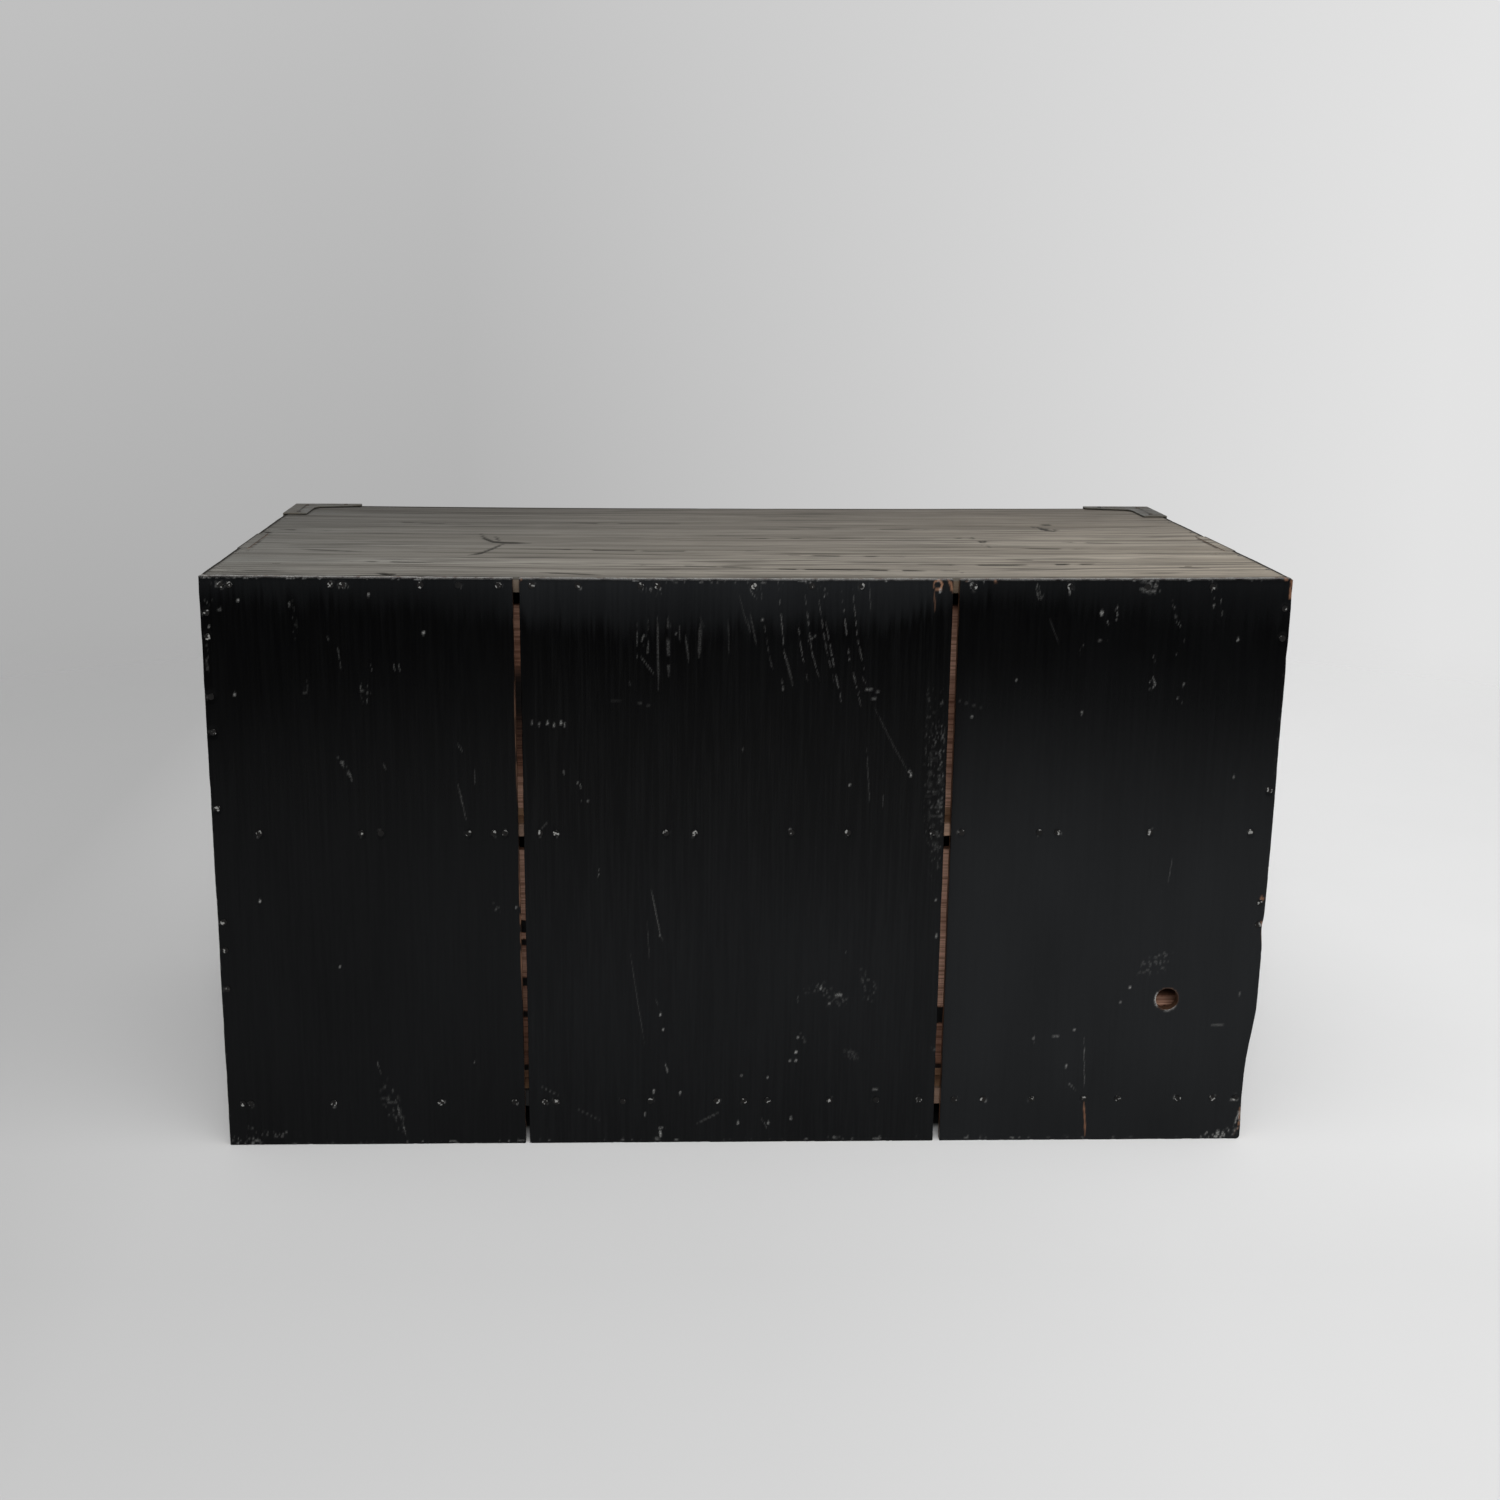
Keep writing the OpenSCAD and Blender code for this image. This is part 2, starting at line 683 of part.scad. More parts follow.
// Drawers: floor_z is the top of the board that the drawer slides on, open_h the height of its opening

function pin_z(floor_z, open_h) = floor_z + open_h / 2 + handle_rise;
function keyhole_z(floor_z, open_h) = floor_z + open_h - keyhole_drop;

// Places of the two handles and their posts on a drawer's face
module at_drawer_handle(side, floor_z, open_h) {
    translate([side * handle_spacing / 2, face_y, pin_z(floor_z, open_h)]) children();
}

module at_drawer_posts(floor_z, open_h) {
    for (side = [-1, 1]) at_drawer_handle(side, floor_z, open_h)
        for (x = [-1, 1]) translate([x * bail_span / 2, 0, 0]) children();
}

// Pegs of one drawer: sides into the front, and the bottom into the sides, the front and the back
module drawer_pegs(floor_z, open_h, back_drop, play = 0) {
    d = drawer_peg_d + 2 * play;
    low_z = floor_z - (play > 0 ? past : 0);
    high_z = floor_z + drawer_peg_l + play;
    inner_x = drawer_half_w - drawer_peg_l - play;
    outer_x = drawer_half_w + (play > 0 ? past : 0);
    lap_mid_y = lap_y + corner_lap / 2;
    wall_z = floor_z + drawer_bottom_t;
    wall_h = open_h - drawer_bottom_t - back_drop;
    run_y = drawer_back_y - front_rear_y;
    color([0.6, 0.47, 0.32]) {
        for (side = [-1, 1]) {
            for (place = wall_peg_places)
                rod_x(d, side * inner_x, side * outer_x, lap_mid_y, wall_z + wall_h * place);
            for (place = floor_peg_places)
                rod_z(d, low_z, high_z, side * (drawer_half_w - wall_t / 2), front_rear_y + run_y * place);
        }
        for (place = cross_peg_places, y = [lap_mid_y, drawer_back_y - wall_t / 2])
            rod_z(d, low_z, high_z, place * drawer_half_w, y);
    }
}

// Fingers of a drawer's back at its rear corners: every second one of corner_fingers
module back_fingers(floor_z, open_h, back_drop) {
    low_z = floor_z + drawer_bottom_t;
    pitch = (open_h - drawer_bottom_t - back_drop) / corner_fingers;
    for (side = [-1, 1], n = [1:2:corner_fingers - 1]) on_side(side)
        box([drawer_half_w - wall_t - past, drawer_back_y - wall_t, low_z + n * pitch],
            [drawer_half_w, drawer_back_y, low_z + (n + 1) * pitch]);
}

// Outline of one of a drawer's corner irons, with its corner at the origin
module drawer_iron_outline() {
    polygon([[0, 0], [drawer_iron_arm, 0], [drawer_iron_arm - drawer_iron_w / 2, drawer_iron_w],
             [drawer_iron_w, drawer_iron_w], [drawer_iron_w, drawer_iron_arm - drawer_iron_w / 2],
             [0, drawer_iron_arm]]);
}

// The four corners of a drawer's face, each with X and Z running inwards over the face
module at_face_corners(floor_z, open_h) {
    mid_z = floor_z + (open_h - head_play) / 2;
    half_h = (open_h - head_play) / 2;
    for (side = [-1, 1], level = [-1, 1])
        translate([side * drawer_half_w, face_y, mid_z + level * half_h])
            mirror([side > 0 ? 1 : 0, 0, 0]) mirror([0, 0, level > 0 ? 1 : 0]) children();
}

// Domed nails of a drawer's corner irons, lock plate and lock case
module trim_nails(floor_z, open_h, play = 0) {
    inset = drawer_iron_w / 2;
    far_inset = drawer_iron_arm * 0.7;
    plate_nail = lobe_out + lobe_r * 0.55;
    flange_x = (lock_w + lock_flange_w) / 2;
    lock_z = lock_low_z(floor_z, open_h);
    color([0.3, 0.29, 0.26]) {
        at_face_corners(floor_z, open_h)
            for (p = [[inset, inset], [far_inset, inset], [inset, far_inset]])
                translate([p[0], -iron_t, p[1]]) rotate([90, 0, 0]) dome_nail(small_dome_d, dome_l, play);
        translate([0, face_y - iron_t, keyhole_z(floor_z, open_h)]) rotate([90, 0, 0])
            for (a = [0:90:270])
                rotate(a) translate([plate_nail, 0, 0]) dome_nail(small_dome_d, dome_l, play);
        for (side = [-1, 1], z = [lock_h * 0.25, lock_h * 0.75])
            translate([side * flange_x, front_rear_y + lock_wall, lock_z + z])
                rotate([-90, 0, 0]) dome_nail(small_dome_d, dome_l, play);
    }
}

module keyhole_cut(z, y_from, y_to) {
    rod_y(keyhole_d, y_from, y_to, 0, z);
    box([-key_slot_w / 2, y_from, z - keyhole_d / 2 - key_slot_l], [key_slot_w / 2, y_to, z]);
}

module drawer_front(floor_z, open_h, back_drop) {
    side_x = drawer_half_w - wall_t;
    cut_x = drawer_half_w + past;
    cut_y = front_rear_y + past;
    color([0.08, 0.07, 0.07]) difference() {
        box([-drawer_half_w, face_y, floor_z], [drawer_half_w, front_rear_y, floor_z + open_h - head_play]);
        box([-cut_x, lap_y, floor_z - past], [cut_x, cut_y, floor_z + drawer_bottom_t]);
        for (side = [-1, 1]) on_side(side)
            box([side_x, lap_y, floor_z], [cut_x, cut_y, floor_z + open_h - side_drop]);
        at_drawer_posts(floor_z, open_h) rod_y(post_d + 2 * fastener_play, -past, front_t + past, 0, 0);
        keyhole_cut(keyhole_z(floor_z, open_h), face_y - past, front_rear_y + past);
        drawer_pegs(floor_z, open_h, back_drop, fastener_play);
        trim_nails(floor_z, open_h, fastener_play);
    }
}

module drawer_side(side, floor_z, open_h, back_drop) {
    color([0.62, 0.47, 0.33]) difference() {
        on_side(side)
            box([drawer_half_w - wall_t, lap_y, floor_z + drawer_bottom_t],
                [drawer_half_w, drawer_back_y, floor_z + open_h - side_drop]);
        back_fingers(floor_z, open_h, back_drop);
        drawer_pegs(floor_z, open_h, back_drop, fastener_play);
    }
}

module drawer_back(floor_z, open_h, back_drop) {
    color([0.5, 0.33, 0.22]) difference() {
        union() {
            box([wall_t - drawer_half_w, drawer_back_y - wall_t, floor_z + drawer_bottom_t],
                [drawer_half_w - wall_t, drawer_back_y, floor_z + open_h - back_drop]);
            back_fingers(floor_z, open_h, back_drop);
        }
        drawer_pegs(floor_z, open_h, back_drop, fastener_play);
    }
}

module drawer_bottom(floor_z, open_h, back_drop) {
    color([0.62, 0.48, 0.34]) difference() {
        box([-drawer_half_w, lap_y, floor_z], [drawer_half_w, drawer_back_y, floor_z + drawer_bottom_t]);
        drawer_pegs(floor_z, open_h, back_drop, fastener_play);
    }
}

// Locks: the bolt stands in the lock's case behind the front, and rises into a mortise in the board above

function lock_low_z(floor_z, open_h) = keyhole_z(floor_z, open_h) - lock_h / 2 + bolt_clear;

module bolt_mortise(ceiling_z) {
    half = tongue_w / 2 + mortise_play;
    box([-half, bolt_y - mortise_play, ceiling_z - past],
        [half, bolt_y + bolt_t + mortise_play, ceiling_z + bolt_travel - bolt_clear + mortise_play]);
}

module lock_plate(floor_z, open_h) {
    z = keyhole_z(floor_z, open_h);
    color([0.25, 0.24, 0.22]) difference() {
        translate([0, 0, z]) upright_plate(face_y - iron_t, iron_t) {
            circle(r = lobe_out);
            for (a = [0:90:270]) rotate(a) translate([lobe_out, 0]) circle(r = lobe_r);
        }
        keyhole_cut(z, face_y - iron_t - past, face_y + past);
        trim_nails(floor_z, open_h, fastener_play);
    }
}

module lock_case(floor_z, open_h) {
    low_z = lock_low_z(floor_z, open_h);
    slot_half = tongue_w / 2 + bolt_play;
    color([0.24, 0.23, 0.22]) difference() {
        union() {
            box([-lock_w / 2, front_rear_y, low_z], [lock_w / 2, front_rear_y + lock_d, low_z + lock_h]);
            box([-lock_w / 2 - lock_flange_w, front_rear_y, low_z],
                [lock_w / 2 + lock_flange_w, front_rear_y + lock_wall, low_z + lock_h]);
        }
        box([lock_wall - lock_w / 2, front_rear_y - past, low_z + lock_wall],
            [lock_w / 2 - lock_wall, front_rear_y + lock_d - lock_wall, low_z + lock_h - lock_wall]);
        box([-slot_half, bolt_y - bolt_play, low_z + lock_h / 2],
            [slot_half, bolt_y + bolt_t + bolt_play, low_z + lock_h + past]);
        trim_nails(floor_z, open_h, fastener_play);
    }
}

module lock_bolt(floor_z, open_h) {
    low_z = lock_low_z(floor_z, open_h) + lock_wall;
    body_half = tongue_w / 2 + shoulder_w;
    color([0.33, 0.31, 0.28]) {
        box([-body_half, bolt_y, low_z],
            [body_half, bolt_y + bolt_t, low_z + lock_h - 2 * lock_wall - bolt_travel]);
        box([-tongue_w / 2, bolt_y, low_z], [tongue_w / 2, bolt_y + bolt_t, floor_z + open_h - bolt_clear]);
    }
}

module drawer_corner_irons(floor_z, open_h) {
    color([0.26, 0.25, 0.23]) difference() {
        at_face_corners(floor_z, open_h) upright_plate(-iron_t, iron_t) drawer_iron_outline();
        trim_nails(floor_z, open_h, fastener_play);
    }
}

module drawer_bail(side, floor_z, open_h) {
    color([0.2, 0.19, 0.18]) at_drawer_handle(side, floor_z, open_h) translate([0, -eye_out, 0])
        bail(bail_span, bail_drop, bail_rod_d, bail_swell);
}

module drawer_posts(floor_z, open_h) {
    color([0.22, 0.21, 0.2]) at_drawer_posts(floor_z, open_h) {
        eye_post(eye_out, front_t, eye_bore_d);
        rod_y(clench_d, front_t, front_t + clench_t, 0, 0);
    }
}

module drawer_post_plates(floor_z, open_h) {
    color([0.24, 0.23, 0.21]) at_drawer_posts(floor_z, open_h) post_plate();
}

top_board();
side_board(-1);  // side_board_left
side_board(1);  // side_board_right
bottom_board();
middle_shelf();
front_base_rail();
back_board_left();
back_board_middle();
back_board_right();
back_nails();
case_pegs();
corner_iron_top(-1);  // corner_iron_top_left
corner_iron_top(1);  // corner_iron_top_right
corner_iron_bottom(-1);  // corner_iron_bottom_left
corner_iron_bottom(1);  // corner_iron_bottom_right
corner_iron_nails();
drawer_stops(upper_z);  // upper_drawer_stops
drawer_stops(lower_z);  // lower_drawer_stops
side_handle_bail(-1);  // side_handle_left_bail
side_handle_bail(1);  // side_handle_right_bail
side_handle_posts();
side_handle_post_plates();
drawer_front(upper_z, upper_open_h, upper_back_drop);  // upper_drawer_front
drawer_side(-1, upper_z, upper_open_h, upper_back_drop);  // upper_drawer_side_left
drawer_side(1, upper_z, upper_open_h, upper_back_drop);  // upper_drawer_side_right
drawer_back(upper_z, upper_open_h, upper_back_drop);  // upper_drawer_back
drawer_bottom(upper_z, upper_open_h, upper_back_drop);  // upper_drawer_bottom
drawer_pegs(upper_z, upper_open_h, upper_back_drop);  // upper_drawer_pegs
lock_plate(upper_z, upper_open_h);  // upper_lock_plate
lock_case(upper_z, upper_open_h);  // upper_lock_case
lock_bolt(upper_z, upper_open_h);  // upper_lock_bolt
drawer_bail(-1, upper_z, upper_open_h);  // upper_handle_left_bail
drawer_bail(1, upper_z, upper_open_h);  // upper_handle_right_bail
drawer_posts(upper_z, upper_open_h);  // upper_handle_posts
drawer_post_plates(upper_z, upper_open_h);  // upper_handle_post_plates
drawer_corner_irons(upper_z, upper_open_h);  // upper_drawer_corner_irons
trim_nails(upper_z, upper_open_h);  // upper_drawer_trim_nails
drawer_front(lower_z, lower_open_h, lower_back_drop);  // lower_drawer_front
drawer_side(-1, lower_z, lower_open_h, lower_back_drop);  // lower_drawer_side_left
drawer_side(1, lower_z, lower_open_h, lower_back_drop);  // lower_drawer_side_right
drawer_back(lower_z, lower_open_h, lower_back_drop);  // lower_drawer_back
drawer_bottom(lower_z, lower_open_h, lower_back_drop);  // lower_drawer_bottom
drawer_pegs(lower_z, lower_open_h, lower_back_drop);  // lower_drawer_pegs
lock_plate(lower_z, lower_open_h);  // lower_lock_plate
lock_case(lower_z, lower_open_h);  // lower_lock_case
lock_bolt(lower_z, lower_open_h);  // lower_lock_bolt
drawer_bail(-1, lower_z, lower_open_h);  // lower_handle_left_bail
drawer_bail(1, lower_z, lower_open_h);  // lower_handle_right_bail
drawer_posts(lower_z, lower_open_h);  // lower_handle_posts
drawer_post_plates(lower_z, lower_open_h);  // lower_handle_post_plates
drawer_corner_irons(lower_z, lower_open_h);  // lower_drawer_corner_irons
trim_nails(lower_z, lower_open_h);  // lower_drawer_trim_nails
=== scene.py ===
import math

import bpy
import numpy as np
from mathutils import Matrix, Vector


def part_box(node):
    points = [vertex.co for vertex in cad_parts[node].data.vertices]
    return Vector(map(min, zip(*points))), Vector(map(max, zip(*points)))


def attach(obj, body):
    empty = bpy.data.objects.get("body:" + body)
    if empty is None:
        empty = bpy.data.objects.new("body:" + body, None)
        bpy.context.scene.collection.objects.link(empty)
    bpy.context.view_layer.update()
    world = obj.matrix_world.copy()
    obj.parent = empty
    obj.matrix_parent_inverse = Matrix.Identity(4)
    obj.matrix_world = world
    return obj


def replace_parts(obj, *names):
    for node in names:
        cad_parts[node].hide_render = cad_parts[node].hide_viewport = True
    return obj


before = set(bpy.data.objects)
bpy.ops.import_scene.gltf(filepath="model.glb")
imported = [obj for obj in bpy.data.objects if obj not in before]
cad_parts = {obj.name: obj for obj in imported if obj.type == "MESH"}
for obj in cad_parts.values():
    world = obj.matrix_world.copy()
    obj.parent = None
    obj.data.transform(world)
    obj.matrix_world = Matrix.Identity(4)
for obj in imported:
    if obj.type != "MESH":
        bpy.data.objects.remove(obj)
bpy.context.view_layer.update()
scene = bpy.context.scene
scene.view_settings.view_transform = "Standard"

# The chest stands on z = 0 with its drawers towards -Y and its nailed back towards +Y.
# Left and right are as seen from the drawer side, so right is +X. All lengths are in metres, apart from the
# lists of marks, which are in millimetres.
MM_PER_M = 1000
HALF_W = 0.432
SIDE_T = 0.010
FRONT_Y = -0.2195
BACK_Y = 0.2345
BACK_T = 0.008
BACK_IN_Y = BACK_Y - BACK_T
TOP_Z = 0.484
UNDER_TOP_Z = 0.470
FINGER_REAR_Y = BACK_Y - 0.152
FINGER_FRONT_Y = FINGER_REAR_Y - 0.090
# Sag of the top board in the middle of its width
SAG = 0.0018
IRON_T = 0.0012
# Share of a domed head's height that hammering left
HEAD_SHARE = 0.45


# Camera: 1.49 m behind the back, 0.72 m up, looking down at the nailed back. The small shift is that of a
# picture cropped off its middle: it keeps the upright edges and the foot of the back straight
def add_camera():
    place = Vector((0.0897, 1.7249, 0.7226))
    pitch = math.radians(14.258)
    yaw = math.radians(1.771)
    roll = math.radians(-0.422)
    right = Vector((-math.cos(yaw), math.sin(yaw), 0))
    level = Vector((-math.sin(yaw), -math.cos(yaw), 0))
    up = Vector((0, 0, 1))
    forward = math.cos(pitch) * level - math.sin(pitch) * up
    lifted = math.sin(pitch) * level + math.cos(pitch) * up
    image_right = math.cos(roll) * right - math.sin(roll) * lifted
    image_up = math.sin(roll) * right + math.cos(roll) * lifted
    data = bpy.data.cameras.new("Camera")
    data.sensor_width = 36
    data.lens = 45.898
    data.shift_x = 0.0375
    camera = bpy.data.objects.new("Camera", data)
    scene.collection.objects.link(camera)
    columns = (image_right, image_up, -forward, place)
    camera.matrix_world = Matrix([[c[row] for c in columns] for row in range(3)] + [[0, 0, 0, 1]])
    scene.camera = camera


add_camera()


HASH_FACTORS = np.array([374761393, 668265263, 2147483647])
HASH_SEED_FACTOR = 1274126177
HASH_MIX_FACTOR = 1103515245
HASH_BITS = 0xFFFFFF


# A number from -1 to 1 for each whole cell, always the same for one seed
def random_at(cells, seed):
    mixed = (cells * HASH_FACTORS).sum(1) + seed * HASH_SEED_FACTOR
    mixed = (mixed ^ (mixed >> 13)) * HASH_MIX_FACTOR
    mixed = (mixed ^ (mixed >> 16)) & HASH_BITS
    return mixed / float(HASH_BITS) * 2 - 1


# Smooth value noise on an array of points, from -1 to 1
def noise(points, size, seed):
    scaled = points / np.asarray(size, float)
    cell = np.floor(scaled).astype(np.int64)
    part = scaled - cell
    part = part * part * (3 - 2 * part)
    total = np.zeros(len(points))
    for corner in range(8):
        offset = np.array([corner & 1, corner >> 1 & 1, corner >> 2 & 1])
        share = np.where(offset, part, 1 - part).prod(1)
        total += share * random_at(cell + offset, seed)
    return total


# The same in layers, each half as large and half as strong as the one before
def layered_noise(points, size, seed, layers=3):
    size = np.asarray(size, float)
    total = np.zeros(len(points))
    for layer in range(layers):
        total += noise(points, size / 2 ** layer, seed + 17 * layer) / 2 ** layer
    return total / (2 - 0.5 ** (layers - 1))


# From 0 at low to 1 at high, level at both
def step_up(value, low, high):
    part = np.clip((value - low) / (high - low), 0, 1)
    return part * part * (3 - 2 * part)


# A value that runs straight from one place to the next
def profile(at, pairs):
    return np.interp(at, *zip(*pairs))


# The surface of a lattice of points: a box whose faces are grids
def lattice(xs, ys, zs):
    sizes = (len(xs), len(ys), len(zs))
    i, j, k = np.meshgrid(*[np.arange(n) for n in sizes], indexing="ij")
    on_skin = np.zeros(sizes, bool)
    for index, n in zip((i, j, k), sizes):
        on_skin |= (index == 0) | (index == n - 1)
    number = np.full(sizes, -1)
    number[on_skin] = np.arange(on_skin.sum())
    points = np.stack([xs[i[on_skin]], ys[j[on_skin]], zs[k[on_skin]]], 1)
    quads = []
    for axis in range(3):
        for end in (0, -1):
            sheet = np.take(number, end, axis)
            corners = [sheet[:-1, :-1], sheet[1:, :-1], sheet[1:, 1:], sheet[:-1, 1:]]
            quad = np.stack(corners, -1).reshape(-1, 4)
            outward = (end == -1) != (axis == 1)
            quads.append(quad if outward else quad[:, ::-1])
    return points, np.concatenate(quads)


# Grid lines from low to high, close together near both ends
def lines(low, high, pitch, edge=0.004):
    near = np.array([0, 0.1, 0.22, 0.38, 0.6]) * edge
    count = max(2, int(round((high - low - 2 * edge) / pitch)) + 1)
    middle = np.linspace(low + edge, high - edge, count)
    return np.concatenate([low + near, middle, (high - near)[::-1]])


# Rounds a box's edges and corners by a radius that may differ from point to point
def rounded(points, low, high, radius):
    radius = np.broadcast_to(radius, (len(points),))[:, None]
    inner = np.clip(points, np.asarray(low) + radius, np.asarray(high) - radius)
    away = points - inner
    length = np.maximum(np.linalg.norm(away, axis=1, keepdims=True), 1e-9)
    touched = (np.abs(away) > 1e-7).sum(1, keepdims=True) > 1
    return np.where(touched, inner + away / length * radius, points)


# Raises one value of a mesh to a level where it is lower
def raise_to(values, key, level, where=slice(None)):
    values[key][where] = np.maximum(values[key][where], level)


def add_mesh(name, points, faces, body, material, values=None):
    mesh = bpy.data.meshes.new(name)
    mesh.from_pydata([tuple(p) for p in points], [], [tuple(f) for f in faces])
    mesh.polygons.foreach_set("use_smooth", [True] * len(mesh.polygons))
    for key, array in (values or {}).items():
        layer = mesh.attributes.new(key, "FLOAT", "POINT")
        layer.data.foreach_set("value", np.asarray(array, np.float32))
    mesh.materials.append(material)
    mesh.update()
    piece = bpy.data.objects.new(name, mesh)
    scene.collection.objects.link(piece)
    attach(piece, body)
    return piece


# Joins the corners of neighbouring faces, which a CAD mesh holds apart
def weld(piece):
    modifier = piece.modifiers.new("weld", "WELD")
    modifier.merge_threshold = 0.000002


def rgba(colour):
    return (*colour, 1) if hasattr(colour, "__len__") else (colour, colour, colour, 1)


# Material building: short ways to add and join nodes. One number stands for a grey where a colour goes
class Paint:
    def __init__(self, name):
        self.material = bpy.data.materials.new(name)
        self.material.use_nodes = True
        self.tree = self.material.node_tree
        self.shader = self.tree.nodes["Principled BSDF"]
        self.place = self.add("ShaderNodeTexCoord").outputs["Object"]

    def add(self, kind, **settings):
        node = self.tree.nodes.new(kind)
        for key, value in settings.items():
            setattr(node, key, value)
        return node

    def put(self, source, target):
        if isinstance(source, bpy.types.NodeSocket):
            self.tree.links.new(source, target)
        else:
            target.default_value = rgba(source) if target.type == "RGBA" else source

    # A node with its inputs filled, by name or by number
    def fill(self, node, inputs):
        for key, source in inputs.items():
            self.put(source, node.inputs[key])
        return node

    def math(self, operation, a, b=0.0, clamp=False):
        node = self.add("ShaderNodeMath", operation=operation, use_clamp=clamp)
        return self.fill(node, {0: a, 1: b}).outputs[0]

    def plus(self, a, b, clamp=False):
        return self.math("ADD", a, b, clamp)

    def times(self, a, b, clamp=False):
        return self.math("MULTIPLY", a, b, clamp)

    def above(self, a, b):
        return self.math("GREATER_THAN", a, b)

    def below(self, a, b):
        return self.math("LESS_THAN", a, b)

    # The place's X, Y and Z, each on its own
    def axes(self):
        return self.fill(self.add("ShaderNodeSeparateXYZ"), {0: self.place}).outputs

    def noise(self, vector, scale, detail, rough=0.5, bend=0.0):
        inputs = {"Vector": vector, "Scale": scale, "Detail": detail, "Roughness": rough, "Distortion": bend}
        return self.fill(self.add("ShaderNodeTexNoise"), inputs).outputs["Fac"]

    def stretch(self, scales):
        return self.fill(self.add("ShaderNodeMapping"), {"Vector": self.place, "Scale": scales}).outputs[0]

    # Noise that has its own scale on each axis
    def grain(self, scales, detail, rough=0.5, bend=0.0):
        return self.noise(self.stretch(scales), 1.0, detail, rough, bend)

    def ramp(self, value, *stops):
        node = self.add("ShaderNodeValToRGB")
        while len(node.color_ramp.elements) < len(stops):
            node.color_ramp.elements.new(0.5)
        for element, (place, colour) in zip(node.color_ramp.elements, stops):
            element.position = place
            element.color = rgba(colour)
        return self.fill(node, {0: value}).outputs[0]

    def mix(self, share, a, b, how="MIX"):
        node = self.add("ShaderNodeMix", data_type="RGBA", blend_type=how)
        return self.fill(node, {0: share, 6: a, 7: b}).outputs[2]

    def tinted(self, base, factor):
        return self.mix(1.0, base, factor, "MULTIPLY")

    # Lays a colour over a base where a value lies between the stops of a ramp
    def over(self, base, colour, value, *stops):
        return self.mix(self.ramp(value, *stops), base, colour)

    def value(self, name):
        return self.add("ShaderNodeAttribute", attribute_name=name).outputs["Fac"]

    def bump(self, height, strength, distance, under=None):
        inputs = {"Height": height, "Strength": strength, "Distance": distance}
        if under is not None:
            inputs["Normal"] = under
        return self.fill(self.add("ShaderNodeBump"), inputs).outputs[0]

    def finish(self, colour, rough, normal=None, metal=0.0, specular=0.5):
        inputs = {"Base Color": colour, "Roughness": rough, "Metallic": metal, "Specular IOR Level": specular}
        if normal is not None:
            inputs["Normal"] = normal
        self.fill(self.shader, inputs)
        return self.material


# Scales of a noise that is fine across the grain and long along it
def grain_scales(along, fine, long):
    return [long if axis == along else fine for axis in "XYZ"]


# Black lacquer over softwood, worn through to brown wood at its edges. Values on the mesh: bare is brown
# wood, pale a fresh light scratch, and on the rims of the back's nails and cable hole a painted glint; the
# bluish film value is a bloom on the front and sides, and on the back a painted reflection; inner is
# unlacquered wood, and brushed how far brush marks show
def lacquer_paint(name, along, specular=0.08):
    paint = Paint(name)
    grain = paint.grain(grain_scales(along, 900, 16), 3.0, 0.6)
    streaks = paint.grain(grain_scales(along, 420, 13), 4.0, 0.65)
    streaks = paint.plus(paint.times(paint.plus(streaks, -0.5), paint.value("brushed")), 0.5)
    cloud = paint.noise(paint.place, 7.0, 5.0, 0.6)
    dust = paint.noise(paint.place, 2600.0, 2.0, 0.6)
    black = paint.over((0.0004, 0.0004, 0.0005), (0.0024, 0.0025, 0.0026), streaks, (0.44, 0.0), (0.70, 1.0))
    black = paint.over(black, (0.0022, 0.0024, 0.0027), cloud, (0.48, 0.0), (0.8, 0.6))
    black = paint.over(black, 0.030, dust, (0.72, 0.0), (0.8, 0.5))
    # Bluish film: a bloom on the front and sides, and on the back a painted reflection
    sheened = paint.mix(paint.value("bloom_and_sheen"), black, (0.0160, 0.0173, 0.0187))
    sheened = paint.over(sheened, (0.0010, 0.0010, 0.0011), streaks, (0.30, 0.14), (0.52, 0.0))
    raw = paint.ramp(grain, (0.3, (0.09, 0.045, 0.024)), (0.7, (0.20, 0.11, 0.06)))
    sheened = paint.mix(paint.value("inner"), sheened, raw)
    brown = paint.ramp(grain, (0.3, (0.10, 0.044, 0.024)), (0.7, (0.26, 0.140, 0.085)))
    worn = paint.mix(paint.value("bare"), sheened, brown)
    flecks = paint.noise(paint.place, 1150.0, 2.0, 0.6)
    pale = paint.times(paint.value("pale"), paint.ramp(flecks, (0.40, 0.22), (0.58, 1.0)), clamp=True)
    scratched = paint.mix(pale, worn, (0.30, 0.30, 0.29))
    dull_and_low_sheen = paint.math("MAXIMUM", paint.value("bare"), paint.value("pale"))
    dull_and_low_sheen = paint.math("MAXIMUM", dull_and_low_sheen, paint.value("inner"))
    rough = paint.mix(dull_and_low_sheen, paint.ramp(cloud, (0.3, 0.10), (0.75, 0.17)), 0.75)
    normal = paint.bump(streaks, 0.15, 0.0005, paint.bump(grain, 0.18, 0.0003))
    return paint.finish(scratched, rough, normal, specular=specular)


